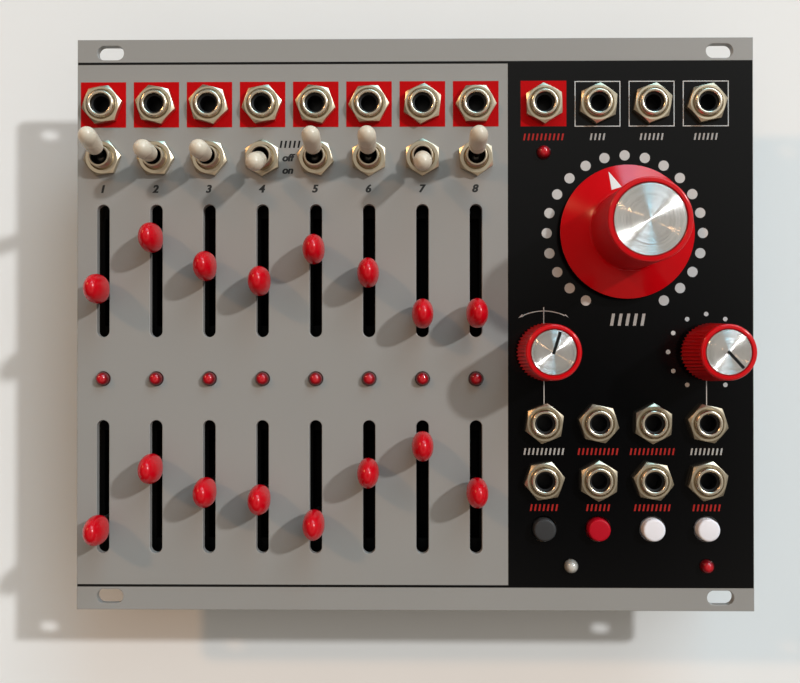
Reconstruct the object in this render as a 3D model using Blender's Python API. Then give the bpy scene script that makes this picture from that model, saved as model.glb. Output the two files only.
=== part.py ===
"""Eurorack control-voltage sequencer, 3U high and 30 HP wide, lying on its back.

The panel faces +Z, its top edge is at +Y. The origin is under the panel's centre,
on the surface that the four tall capacitors of the rear side stand on.
"""
import bpy
import bmesh
from math import cos, pi, radians, sin, tan

MM = 0.001

# Clearances that the whole module shares
SEAT_GAP = 0.3 * MM            # between two pieces that rest on each other
BORE_CLEARANCE = 0.3 * MM      # around a round piece in its hole, on the radius
SOCKET_SPACING = 3.0 * MM      # free width between the socket bodies of two step columns
CONTROL_SPACING = 3.1 * MM     # the same between the columns of the control block

# Panel and board
PANEL_THICKNESS = 2.0 * MM
BOARD_THICKNESS = 1.6 * MM
BOARD_LIP = 0.6 * MM           # board left over beyond the outermost bodies
SIDE_INSET = 0.8 * MM          # board edge inside the panel's left and right edges
TOP_RAIL_ZONE = 9.1 * MM       # bare rear strip that lies on the upper rack rail
BOTTOM_RAIL_ZONE = 7.55 * MM   # bare rear strip that lies on the lower rack rail
MOUNT_SLOT_WIDTH = 3.2 * MM    # clears an M3 screw
MOUNT_SLOT_LENGTH = 6.0 * MM
MOUNT_SLOT_INSET_X = 7.5 * MM  # slot centre from the panel's side
MOUNT_SLOT_INSET_Y = 3.0 * MM  # slot centre from the panel's top or bottom
BLOCK_GAP = 15.2 * MM          # last step column to first control column
RIGHT_MARGIN = 10.6 * MM       # last control column to the panel's right edge

# Counts
STEPS = 8
CONTROL_COLUMNS = 4

# Jack socket for 3.5 mm plugs
SOCKET_WIDTH = 9.0 * MM
SOCKET_LENGTH = 10.5 * MM
SOCKET_HEIGHT = 9.7 * MM       # sets the distance between board and panel
SOCKET_FLOOR = 0.9 * MM
JACK_BORE_RADIUS = 1.8 * MM
JACK_BARREL_RADIUS = 3.0 * MM
JACK_MOUTH_RADIUS = 2.7 * MM   # barrel top, after its rounded edge
JACK_MOUTH_EDGE = 0.4 * MM     # height of that rounded edge
JACK_RISE = 3.0 * MM           # barrel above the panel
JACK_NUT_FLATS = 8.0 * MM
JACK_NUT_HEIGHT = 2.0 * MM

# Miniature toggle switch
TOGGLE_BODY_WIDTH = 6.9 * MM
TOGGLE_BODY_LENGTH = 8.2 * MM
TOGGLE_BUSHING_RADIUS = 2.4 * MM
TOGGLE_BORE_RADIUS = 1.8 * MM
TOGGLE_RISE = 4.0 * MM         # bushing above the panel
TOGGLE_NUT_FLATS = 7.3 * MM
TOGGLE_NUT_HEIGHT = 1.7 * MM
TOGGLE_BALL_DEPTH = 3.0 * MM   # pivot below the bushing's top
TOGGLE_BAT_LENGTH = 13.2 * MM  # pivot to tip
TOGGLE_SLEEVE_LENGTH = 8.0 * MM  # sleeve over the bat's end
TOGGLE_TIP_LENGTH = 2.5 * MM   # rounded tip of the sleeve
TOGGLE_BAT_RADIUS = 2.0 * MM   # thickest place, just under the tip
TOGGLE_BAT_FOOT_RADIUS = 1.85 * MM
TOGGLE_NECK_RADIUS = 0.75 * MM
TOGGLE_THROW = radians(15.0)
# Positions in the photograph, step 1 first: 1 is up, 0 is the middle, -1 is down
TOGGLE_STATES = (1, 0, 0, -1, 1, 1, -1, 1)

# Slide potentiometer
SLIDER_TRAVEL = 20.0 * MM
SLIDER_BODY_WIDTH = 9.0 * MM
SLIDER_BODY_HEIGHT = 7.0 * MM
SLIDER_END_BLOCK = 5.15 * MM   # closed housing beyond the lever's slot, each end
LEVER_WIDTH = 1.2 * MM
LEVER_LENGTH = 4.0 * MM
LEVER_DEPTH = 4.0 * MM         # lever inside its housing
LEVER_CLEARANCE = 0.35 * MM    # lever to the housing's slot
PANEL_SLOT_WIDTH = 2.8 * MM
PANEL_SLOT_MARGIN = 2.6 * MM   # panel slot beyond the lever at each end of its travel
CAP_WIDTH = 4.8 * MM
CAP_LENGTH = 6.6 * MM
CAP_HEIGHT = 8.8 * MM
CAP_LIFT = 1.5 * MM            # cap's underside above the panel
# The cap's half width and the height where it has it, as shares of its full size, bottom first
CAP_SHAPE_SHARES = ((0.80, 0.0), (1.0, 0.30), (0.98, 0.58), (0.78, 0.84), (0.36, 1.0))
# Where each cap stands in the photograph, as a share of half its travel, step 1 first
UPPER_ROW_SHARES = (-0.43, 0.70, 0.07, -0.26, 0.44, -0.08, -0.98, -0.97)
LOWER_ROW_SHARES = (-0.90, 0.46, -0.06, -0.22, -0.77, 0.37, 0.96, -0.06)

# Indicator lamps, 3 mm
LED_RADIUS = 1.55 * MM
LED_FLANGE_RADIUS = 1.9 * MM
LED_FLANGE_HEIGHT = 1.0 * MM
LED_RISE = 2.0 * MM
LED_SPACER_RADIUS = 1.7 * MM

# Push buttons
BUTTON_RADIUS = 2.6 * MM
BUTTON_RISE = 2.75 * MM
BUTTON_EDGE = 0.5 * MM
BUTTON_COLLAR = 0.7 * MM       # collar under the panel, beyond the cap's radius
BUTTON_COLLAR_HEIGHT = 1.0 * MM
BUTTON_STEM_RADIUS = 1.6 * MM
BUTTON_TRAVEL = 0.5 * MM
TACT_WIDTH = 6.0 * MM
TACT_HEIGHT = 4.3 * MM

# Rotary potentiometers and their knobs
POT_WIDTH = 9.5 * MM
POT_LENGTH = 11.0 * MM
POT_BUSHING_RADIUS = 3.75 * MM
POT_BUSHING_RISE = 5.0 * MM
POT_NUT_FLATS = 10.0 * MM
POT_NUT_HEIGHT = 1.8 * MM
SHAFT_RADIUS = 3.0 * MM
SHAFT_CLEARANCE = 0.25 * MM    # around the shaft, on the radius
KNOB_LIFT = 0.6 * MM           # knob's underside above the nut
KNOB_CROWN = 2.6 * MM          # plastic over the end of the shaft
INLAY_THICKNESS = 0.8 * MM
INLAY_CLEARANCE = 0.3 * MM

SMALL_KNOB_BASE_RADIUS = 6.45 * MM
SMALL_KNOB_TOP_RADIUS = 5.8 * MM
SMALL_KNOB_TOP = 16.9 * MM     # above the panel
SMALL_KNOB_EDGE = 0.35 * MM
SMALL_INLAY_RADIUS = 4.7 * MM
FLUTE_DEPTH = 0.3 * MM
FLUTES = 36
LARGE_SKIRT_RADIUS = 14.85 * MM
LARGE_GRIP_RADIUS = 8.6 * MM
LARGE_KNOB_TOP = 25.4 * MM     # above the panel
LARGE_KNOB_EDGE = 0.4 * MM
LARGE_SKIRT_SLOPE = radians(29.0)
LARGE_SKIRT_FILLET = 1.3 * MM  # where the sloping skirt turns up into the straight grip
LARGE_RIM = 0.7 * MM           # thickness of the skirt's edge
LARGE_INLAY_RADIUS = 7.2 * MM
# Pointer directions in the photograph, from +X, anticlockwise
LARGE_POINTER = radians(108.0)
LEFT_POINTER = radians(72.2)
RIGHT_POINTER = radians(-47.3)

# Free distances between the rows, top to bottom, on the step side
TOGGLE_GAP = 2.6 * MM
SLIDER_GAP = 3.75 * MM
STEP_LED_GAP = 4.9 * MM
# The same in the control block
TOP_LED_GAP = 3.65 * MM
LARGE_KNOB_GAP = 1.75 * MM
SMALL_KNOB_GAP = 5.35 * MM
MIDDLE_JACK_GAP = 4.25 * MM
LOWER_JACK_GAP = 2.3 * MM
BUTTON_GAP = 2.6 * MM
FOOT_LED_GAP = 3.4 * MM

# Rear side of the board
CAN_RADIUS = 4.0 * MM
CAN_HEIGHT = 10.5 * MM
CAN_GROOVE = 0.4 * MM
CAN_GROOVE_HEIGHT = 1.6 * MM   # groove's centre from the board end
CAN_PLACE_SHARES = (0.70, 0.78)  # of half the board's width and height
HEADER_LENGTH = 28.0 * MM
HEADER_WIDTH = 8.9 * MM
HEADER_HEIGHT = 9.1 * MM
HEADER_WALL = 1.2 * MM
HEADER_FLOOR = 2.5 * MM
HEADER_KEY_WIDTH = 4.5 * MM
HEADER_PLACE_SHARE = -0.78        # of half the board's height
HEADER_PINS = 8                   # in each of the two rows
PIN_PITCH = 2.54 * MM
PIN_WIDTH = 0.64 * MM
PIN_LENGTH = 5.0 * MM
CHIP_LENGTH = 19.3 * MM
CHIP_WIDTH = 6.4 * MM
CHIP_HEIGHT = 3.3 * MM
CHIP_SPACING_X = 6.0 * MM
CHIP_SPACING_Y = 14.0 * MM
CHIP_COLUMNS = 4
CHIP_ROWS = 2
TRIMMER_LENGTH = 9.5 * MM
TRIMMER_WIDTH = 4.8 * MM
TRIMMER_HEIGHT = 8.0 * MM
TRIMMER_SPACING = 8.0 * MM
TRIMMERS = 2
TRIMMER_PLACE_SHARE = 0.78        # of half the board's height
TRIMMER_SCREW_RADIUS = 1.1 * MM
TRIMMER_SCREW_RISE = 0.6 * MM

# How finely round pieces are faceted
HOLE_SIDES = 8
THREAD_SIDES = 8
SPACER_SIDES = 6
KNOB_SIDES = 32
INLAY_SIDES = 20
BUTTON_SIDES = 12
CAP_SIDES = 10
BAT_SIDES = 8
MOUNT_SLOT_POINTS = 5             # on each half-round end
LEVER_SLOT_POINTS = 4
SWEEP_STEPS = 4
BALL_CUT = radians(37.0)
TIP_STEP = radians(38.0)
DOME_STEP = radians(38.0)
NUT_CHAMFER_SHARE = 0.125         # of the nut's height
NUT_TURN = radians(23.0)          # each nut stops this much further round than the last
SHARP_ANGLE = radians(32.0)

# Sizes that follow
half_socket = SOCKET_LENGTH / 2
half_toggle = TOGGLE_BODY_LENGTH / 2
lever_slot_length = SLIDER_TRAVEL + LEVER_LENGTH + 2 * LEVER_CLEARANCE
slider_body_length = lever_slot_length + 2 * SLIDER_END_BLOCK
half_slider = slider_body_length / 2
step_pitch = SOCKET_WIDTH + SOCKET_SPACING
control_pitch = SOCKET_WIDTH + CONTROL_SPACING

# How far each row's centre lies below the panel's top edge
jack_drop = TOP_RAIL_ZONE + BOARD_LIP + half_socket
toggle_drop = jack_drop + half_socket + TOGGLE_GAP + half_toggle
upper_slider_drop = toggle_drop + half_toggle + SLIDER_GAP + half_slider
step_led_drop = upper_slider_drop + half_slider + STEP_LED_GAP + LED_FLANGE_RADIUS
lower_slider_drop = step_led_drop + LED_FLANGE_RADIUS + STEP_LED_GAP + half_slider
top_led_drop = jack_drop + half_socket + TOP_LED_GAP + LED_FLANGE_RADIUS
large_knob_drop = top_led_drop + LED_RADIUS + LARGE_KNOB_GAP + LARGE_SKIRT_RADIUS
small_knob_drop = large_knob_drop + LARGE_SKIRT_RADIUS + SMALL_KNOB_GAP + SMALL_KNOB_BASE_RADIUS
middle_jack_drop = small_knob_drop + SMALL_KNOB_BASE_RADIUS + MIDDLE_JACK_GAP + half_socket
lower_jack_drop = middle_jack_drop + SOCKET_LENGTH + LOWER_JACK_GAP
button_drop = lower_jack_drop + half_socket + BUTTON_GAP + TACT_WIDTH / 2
foot_led_drop = button_drop + TACT_WIDTH / 2 + FOOT_LED_GAP + LED_FLANGE_RADIUS
board_drop = max(lower_slider_drop + half_slider, foot_led_drop + LED_FLANGE_RADIUS) + BOARD_LIP

panel_height = board_drop + BOTTOM_RAIL_ZONE
left_margin = SIDE_INSET + BOARD_LIP + SOCKET_WIDTH / 2
step_span = (STEPS - 1) * step_pitch
control_span = (CONTROL_COLUMNS - 1) * control_pitch
panel_width = left_margin + step_span + BLOCK_GAP + control_span + RIGHT_MARGIN

step_columns = [left_margin - panel_width / 2 + i * step_pitch for i in range(STEPS)]
control_columns = [step_columns[-1] + BLOCK_GAP + i * control_pitch for i in range(CONTROL_COLUMNS)]


def row(drop):
    """Y of a row that lies this far below the panel's top edge."""
    return panel_height / 2 - drop


# Heights, from the surface that the module lies on
board_rear = max(CAN_HEIGHT, HEADER_HEIGHT, TRIMMER_HEIGHT) + SEAT_GAP
board_front = board_rear + BOARD_THICKNESS
body_top = board_front + SOCKET_HEIGHT
panel_rear = body_top + SEAT_GAP
panel_front = panel_rear + PANEL_THICKNESS
slider_body_top = board_front + SLIDER_BODY_HEIGHT
knob_underside = panel_front + POT_NUT_HEIGHT + KNOB_LIFT
board_low = row(board_drop)
board_high = row(TOP_RAIL_ZONE)
board_half_width = panel_width / 2 - SIDE_INSET
board_half_height = (board_high - board_low) / 2
board_centre = (board_high + board_low) / 2

led_flange_bottom = panel_rear - SEAT_GAP - LED_FLANGE_HEIGHT
switch_top = board_front + TACT_HEIGHT

# Places that several pieces share
jack_places = [(x, row(jack_drop)) for x in step_columns + control_columns]
jack_places += [(x, row(drop)) for drop in (middle_jack_drop, lower_jack_drop) for x in control_columns]
toggle_places = [(x, row(toggle_drop)) for x in step_columns]
slider_rows = {"upper": row(upper_slider_drop), "lower": row(lower_slider_drop)}
led_places = {f"step_{i + 1}": (x, row(step_led_drop)) for i, x in enumerate(step_columns)}
led_places["top"] = (control_columns[0], row(top_led_drop))
led_places["foot"] = (control_columns[-1], row(foot_led_drop))
led_places["clear"] = ((control_columns[0] + control_columns[1]) / 2, row(foot_led_drop))
button_places = [(x, row(button_drop)) for x in control_columns]
pot_places = {
    "large": ((control_columns[0] + control_columns[-1]) / 2, row(large_knob_drop)),
    "left": (control_columns[0], row(small_knob_drop)),
    "right": (control_columns[-1], row(small_knob_drop)),
}
chip_pitch = (CHIP_LENGTH + CHIP_SPACING_X, CHIP_WIDTH + CHIP_SPACING_Y)
chip_places = [((i - (CHIP_COLUMNS - 1) / 2) * chip_pitch[0],
                board_centre + (j - (CHIP_ROWS - 1) / 2) * chip_pitch[1])
               for i in range(CHIP_COLUMNS) for j in range(CHIP_ROWS)]


def circle(radius, sides, turn=0.0):
    """Corners of a polygon on a circle, anticlockwise."""
    return [(radius * cos(turn + 2 * pi * i / sides), radius * sin(turn + 2 * pi * i / sides))
            for i in range(sides)]


def round_hole(radius, sides):
    """Polygon whose flats touch the circle, so that a round piece of that radius passes."""
    return circle(radius / cos(pi / sides), sides, pi / sides)


def hexagon(flats, turn):
    """Hexagon that measures this much across its flats."""
    return circle(flats / 2 / cos(pi / 6), 6, turn)


def rectangle(width, length):
    """Corners of a rectangle about zero, anticlockwise."""
    x, y = width / 2, length / 2
    return [(x, -y), (x, y), (-x, y), (-x, -y)]


def oval_slot(width, length, end_points):
    """Slot along X with two half-round ends, each of this many points."""
    radius = width / 2
    reach = length / 2 - radius
    points = []
    for side, start in ((1, -pi / 2), (-1, pi / 2)):
        for i in range(end_points):
            angle = start + pi * i / (end_points - 1)
            points.append((side * reach + radius * cos(angle), radius * sin(angle)))
    return points


def turned(points):
    """The same outline a quarter turn round."""
    return [(-y, x) for x, y in points]


def moved(points, place):
    """The same outline about another place."""
    return [(x + place[0], y + place[1]) for x, y in points]


def add_loop(bm, points, z):
    """Closed ring of vertices and edges at one height."""
    verts = [bm.verts.new((x, y, z)) for x, y in points]
    for i in range(len(verts)):
        bm.edges.new((verts[i - 1], verts[i]))
    return verts


def loop_edges(bm, loop):
    """Edges that join a ring's neighbours."""
    return [bm.edges.get((loop[i - 1], loop[i])) for i in range(len(loop))]


def close_loop(bm, loop, finish=0):
    """Flat end over one convex ring."""
    bm.faces.new(loop).material_index = finish


def fill(bm, loops, finish=0):
    """Flat face inside the first ring and outside the others."""
    edges = [edge for loop in loops for edge in loop_edges(bm, loop)]
    made = bmesh.ops.triangle_fill(bm, use_beauty=True, edges=edges, normal=(0, 0, 1))
    for piece in made["geom"]:
        if isinstance(piece, bmesh.types.BMFace):
            piece.material_index = finish


def loft(bm, sections, finish=0):
    """Skin over rings given as (points, height), open at both ends. Returns its two end rings."""
    loops = [add_loop(bm, points, z) for points, z in sections]
    for first, second in zip(loops, loops[1:]):
        for i in range(len(first)):
            quad = bm.faces.new((first[i - 1], first[i], second[i], second[i - 1]))
            quad.material_index = finish
    return loops[0], loops[-1]


def solid(bm, sections, finish=0):
    """Closed body over a stack of rings."""
    first, last = loft(bm, sections, finish)
    close_loop(bm, first, finish)
    close_loop(bm, last, finish)


class Slab:
    """Flat plate that other pieces grow out of.

    Its two faces are filled at the end, when every hole and every footprint is known.
    """

    def __init__(self, outline, low, high):
        self.bm = bmesh.new()
        self.low, self.high = low, high
        low_loop, high_loop = loft(self.bm, [(outline, low), (outline, high)])
        self.low_loops, self.high_loops = [low_loop], [high_loop]

    def hole(self, points):
        """Opening right through the plate."""
        low_loop, high_loop = loft(self.bm, [(points, self.low), (points, self.high)])
        self.low_loops.append(low_loop)
        self.high_loops.append(high_loop)

    def nut(self, place, flats, height, bore_radius, turn):
        """Hexagon nut on the upper face, over a hole of the same bore."""
        chamfer = height * NUT_CHAMFER_SHARE
        seat = moved(hexagon(flats, turn), place)
        crown = moved(hexagon(flats - 2 * chamfer, turn), place)
        bore = moved(round_hole(bore_radius, THREAD_SIDES), place)
        top = self.high + height
        foot, rim = loft(self.bm, [(seat, self.high), (seat, top - chamfer), (crown, top)], 1)
        rear, mouth = loft(self.bm, [(bore, self.low), (bore, top)], 1)
        fill(self.bm, [rim, mouth], 1)
        self.high_loops.append(foot)
        self.low_loops.append(rear)

    def grow(self, sections, finish=0):
        """Walls that rise from the upper face, or hang from the lower one. Returns their far ring."""
        foot, end = loft(self.bm, sections, finish)
        loops = self.high_loops if sections[0][1] == self.high else self.low_loops
        loops.append(foot)
        return end

    def finished(self):
        """The closed mesh."""
        fill(self.bm, self.low_loops)
        fill(self.bm, self.high_loops)
        return self.bm


def make_material(name, colour, roughness, metallic):
    """Plain finish of one node."""
    material = bpy.data.materials.new(name)
    material.use_nodes = True
    shader = material.node_tree.nodes["Principled BSDF"]
    shader.inputs["Base Color"].default_value = (*colour, 1.0)
    shader.inputs["Roughness"].default_value = roughness
    shader.inputs["Metallic"].default_value = metallic
    material.diffuse_color = (*colour, 1.0)
    return material


def make_node(name, bm, materials, place=(0, 0, 0), rotation=(0, 0, 0)):
    """Turn a finished mesh into a named object at its place."""
    bmesh.ops.recalc_face_normals(bm, faces=bm.faces)
    mesh = bpy.data.meshes.new(name)
    bm.to_mesh(mesh)
    bm.free()
    mesh.shade_smooth()
    mesh.set_sharp_from_angle(angle=SHARP_ANGLE)
    for material in materials:
        mesh.materials.append(material)
    node = bpy.data.objects.new(name, mesh)
    node.location = place
    node.rotation_euler = rotation
    bpy.context.collection.objects.link(node)
    return node


def make_panel(anodised, nut_metal):
    """Anodised plate with every hole and slot of the front, and the nuts screwed down on it."""
    panel = Slab(rectangle(panel_width, panel_height), panel_rear, panel_front)
    slot = oval_slot(MOUNT_SLOT_WIDTH, MOUNT_SLOT_LENGTH, MOUNT_SLOT_POINTS)
    for side in (-1, 1):
        for end in (-1, 1):
            x = side * (panel_width / 2 - MOUNT_SLOT_INSET_X)
            y = end * (panel_height / 2 - MOUNT_SLOT_INSET_Y)
            panel.hole(moved(slot, (x, y)))
    for place in led_places.values():
        panel.hole(moved(round_hole(LED_RADIUS + BORE_CLEARANCE, HOLE_SIDES), place))
    for place in button_places:
        panel.hole(moved(round_hole(BUTTON_RADIUS + BORE_CLEARANCE, BUTTON_SIDES), place))
    slot = turned(oval_slot(PANEL_SLOT_WIDTH, lever_slot_length + 2 * PANEL_SLOT_MARGIN, LEVER_SLOT_POINTS))
    for y in slider_rows.values():
        for x in step_columns:
            panel.hole(moved(slot, (x, y)))
    for i, place in enumerate(jack_places):
        panel.nut(place, JACK_NUT_FLATS, JACK_NUT_HEIGHT, JACK_BARREL_RADIUS + BORE_CLEARANCE, i * NUT_TURN)
    for i, place in enumerate(toggle_places):
        panel.nut(place, TOGGLE_NUT_FLATS, TOGGLE_NUT_HEIGHT, TOGGLE_BUSHING_RADIUS + BORE_CLEARANCE,
                  (i + 1) * NUT_TURN)
    for i, place in enumerate(pot_places.values()):
        panel.nut(place, POT_NUT_FLATS, POT_NUT_HEIGHT, POT_BUSHING_RADIUS + BORE_CLEARANCE, i * NUT_TURN)
    make_node("front_panel", panel.finished(), [anodised, nut_metal])


def grow_jack(board, place):
    """Socket body on the board, with its threaded barrel and the bore for the plug."""
    walls = moved(rectangle(SOCKET_WIDTH, SOCKET_LENGTH), place)
    thread = moved(circle(JACK_BARREL_RADIUS, THREAD_SIDES), place)
    rim = moved(circle(JACK_MOUTH_RADIUS, THREAD_SIDES), place)
    bore = moved(circle(JACK_BORE_RADIUS, THREAD_SIDES), place)
    barrel_top = panel_front + JACK_RISE
    shoulder = board.grow([(walls, board_front), (walls, body_top)], 1)
    barrel = [(thread, body_top), (thread, barrel_top - JACK_MOUTH_EDGE), (rim, barrel_top),
              (bore, barrel_top), (bore, board_front + SOCKET_FLOOR)]
    foot, bottom = loft(board.bm, barrel, 2)
    fill(board.bm, [shoulder, foot], 1)
    close_loop(board.bm, bottom, 2)


def grow_toggle(board, place):
    """Switch body on the board, with the open bushing that the lever pivots in."""
    walls = moved(rectangle(TOGGLE_BODY_WIDTH, TOGGLE_BODY_LENGTH), place)
    thread = moved(circle(TOGGLE_BUSHING_RADIUS, THREAD_SIDES), place)
    bore = moved(circle(TOGGLE_BORE_RADIUS, THREAD_SIDES), place)
    top = panel_front + TOGGLE_RISE
    shoulder = board.grow([(walls, board_front), (walls, body_top)], 1)
    foot, bottom = loft(board.bm, [(thread, body_top), (thread, top), (bore, top), (bore, body_top)], 2)
    fill(board.bm, [shoulder, foot], 1)
    close_loop(board.bm, bottom, 2)


def grow_slider_housing(board, place):
    """Slide potentiometer's housing, with the slot that its lever runs in."""
    walls = moved(rectangle(SLIDER_BODY_WIDTH, slider_body_length), place)
    slot = moved(rectangle(LEVER_WIDTH + 2 * LEVER_CLEARANCE, lever_slot_length), place)
    slot_floor = slider_body_top - LEVER_DEPTH - LEVER_CLEARANCE
    cover = board.grow([(walls, board_front), (walls, slider_body_top)], 1)
    mouth, floor = loft(board.bm, [(slot, slider_body_top), (slot, slot_floor)], 1)
    fill(board.bm, [cover, mouth], 1)
    close_loop(board.bm, floor, 1)


def grow_block(board, points, start, end, finish):
    """Plain body from the board's face to a height."""
    board_end = board.grow([(points, start), (points, end)], finish)
    close_loop(board.bm, board_end, finish)


def make_board(board_mask, plastic, metal):
    """Circuit board with everything that is soldered to it in rows."""
    outline = moved(rectangle(2 * board_half_width, 2 * board_half_height), (0, board_centre))
    board = Slab(outline, board_rear, board_front)
    for place in jack_places:
        grow_jack(board, place)
    for place in toggle_places:
        grow_toggle(board, place)
    for y in slider_rows.values():
        for x in step_columns:
            grow_slider_housing(board, (x, y))
    for place in button_places:
        grow_block(board, moved(rectangle(TACT_WIDTH, TACT_WIDTH), place), board_front, switch_top, 1)
    for place in led_places.values():
        spacer = moved(circle(LED_SPACER_RADIUS, SPACER_SIDES), place)
        grow_block(board, spacer, board_front, led_flange_bottom - SEAT_GAP, 1)
    for x, y in chip_places:
        outline = moved(rectangle(CHIP_LENGTH, CHIP_WIDTH), (x, y))
        grow_block(board, outline, board_rear, board_rear - CHIP_HEIGHT, 1)
    make_node("main_board", board.finished(), [board_mask, plastic, metal])


def make_toggle_levers(material):
    """Levers, turned from a ball that pivots in the bushing out to a thick, round-tipped sleeve."""
    ball_radius = TOGGLE_BORE_RADIUS - BORE_CLEARANCE
    sleeve_foot = TOGGLE_BAT_LENGTH - TOGGLE_SLEEVE_LENGTH
    tip_foot = TOGGLE_BAT_LENGTH - TOGGLE_TIP_LENGTH
    # Radius and height above the pivot, from the ball's underside to the tip
    profile = (
        (ball_radius * sin(BALL_CUT), -ball_radius * cos(BALL_CUT)),
        (ball_radius, 0),
        (ball_radius * sin(BALL_CUT), ball_radius * cos(BALL_CUT)),
        (TOGGLE_NECK_RADIUS, sleeve_foot),
        (TOGGLE_BAT_FOOT_RADIUS, sleeve_foot),
        (TOGGLE_BAT_RADIUS, tip_foot),
        (TOGGLE_BAT_RADIUS * cos(TIP_STEP), tip_foot + TOGGLE_TIP_LENGTH * sin(TIP_STEP)),
        (TOGGLE_BAT_RADIUS * cos(2 * TIP_STEP), tip_foot + TOGGLE_TIP_LENGTH * sin(2 * TIP_STEP)),
    )
    pivot = panel_front + TOGGLE_RISE - TOGGLE_BALL_DEPTH
    for i, (place, state) in enumerate(zip(toggle_places, TOGGLE_STATES)):
        bm = bmesh.new()
        solid(bm, [(circle(radius, BAT_SIDES), z) for radius, z in profile])
        make_node(f"toggle_lever_{i + 1}", bm, [material], (*place, pivot), (-state * TOGGLE_THROW, 0, 0))


def make_sliders(red, metal):
    """Egg-shaped caps, each pressed on the blade lever that comes up through its slot."""
    cap_bottom = panel_front + CAP_LIFT
    blade = rectangle(LEVER_WIDTH, LEVER_LENGTH)
    sections = []
    for width_share, height_share in CAP_SHAPE_SHARES:
        points = [(x * CAP_WIDTH / 2 * width_share, y * CAP_LENGTH / 2 * width_share)
                  for x, y in circle(1, CAP_SIDES, pi / CAP_SIDES)]
        sections.append((points, cap_bottom + CAP_HEIGHT * height_share))
    shares = {"upper": UPPER_ROW_SHARES, "lower": LOWER_ROW_SHARES}
    for name, y in slider_rows.items():
        for i, x in enumerate(step_columns):
            bm = bmesh.new()
            underside, crown = loft(bm, sections)
            root, end = loft(bm, [(blade, cap_bottom), (blade, slider_body_top - LEVER_DEPTH)], 1)
            fill(bm, [underside, root])
            close_loop(bm, crown)
            close_loop(bm, end, 1)
            place = (x, y + shares[name][i] * SLIDER_TRAVEL / 2, 0)
            make_node(f"slider_{name}_{i + 1}", bm, [red, metal], place)


def make_leds(red, clear):
    """Lamps with a flange under the panel and a domed top above it."""
    top = panel_front + LED_RISE
    dome = min(LED_RADIUS, LED_RISE)
    flange_top = led_flange_bottom + LED_FLANGE_HEIGHT
    profile = (
        (LED_FLANGE_RADIUS, led_flange_bottom),
        (LED_FLANGE_RADIUS, flange_top),
        (LED_RADIUS, flange_top),
        (LED_RADIUS, top - dome),
        (LED_RADIUS * cos(DOME_STEP), top - dome + dome * sin(DOME_STEP)),
        (LED_RADIUS * cos(2 * DOME_STEP), top - dome + dome * sin(2 * DOME_STEP)),
    )
    for name, place in led_places.items():
        bm = bmesh.new()
        solid(bm, [(circle(radius, HOLE_SIDES, pi / HOLE_SIDES), z) for radius, z in profile])
        make_node(f"led_{name}", bm, [clear if name == "clear" else red], (*place, 0))


def make_buttons(colours):
    """Caps that press the key switches through the panel, each held by a collar under it."""
    collar_top = panel_rear - SEAT_GAP
    collar_radius = BUTTON_RADIUS + BUTTON_COLLAR
    cap_top = panel_front + BUTTON_RISE
    profile = (
        (BUTTON_STEM_RADIUS, switch_top + BUTTON_TRAVEL + SEAT_GAP),
        (BUTTON_STEM_RADIUS, collar_top - BUTTON_COLLAR_HEIGHT),
        (collar_radius, collar_top - BUTTON_COLLAR_HEIGHT),
        (collar_radius, collar_top),
        (BUTTON_RADIUS, collar_top),
        (BUTTON_RADIUS, cap_top - BUTTON_EDGE),
        (BUTTON_RADIUS - BUTTON_EDGE, cap_top),
    )
    for i, (place, material) in enumerate(zip(button_places, colours)):
        bm = bmesh.new()
        solid(bm, [(circle(radius, BUTTON_SIDES, pi / BUTTON_SIDES), z) for radius, z in profile])
        make_node(f"button_{i + 1}", bm, [material], (*place, 0))


def make_pot(name, place, plastic, metal):
    """Rotary potentiometer behind the panel, with its threaded bushing."""
    walls = rectangle(POT_WIDTH, POT_LENGTH)
    thread = circle(POT_BUSHING_RADIUS, THREAD_SIDES, pi / THREAD_SIDES)
    bore = round_hole(SHAFT_RADIUS + SHAFT_CLEARANCE, THREAD_SIDES)
    top = panel_front + POT_BUSHING_RISE
    bm = bmesh.new()
    base, shoulder = loft(bm, [(walls, board_front + SEAT_GAP), (walls, body_top)])
    foot, bottom = loft(bm, [(thread, body_top), (thread, top), (bore, top), (bore, body_top)], 1)
    close_loop(bm, base)
    fill(bm, [shoulder, foot])
    close_loop(bm, bottom, 1)
    make_node(f"{name}_pot", bm, [plastic, metal], (*place, 0))


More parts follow.
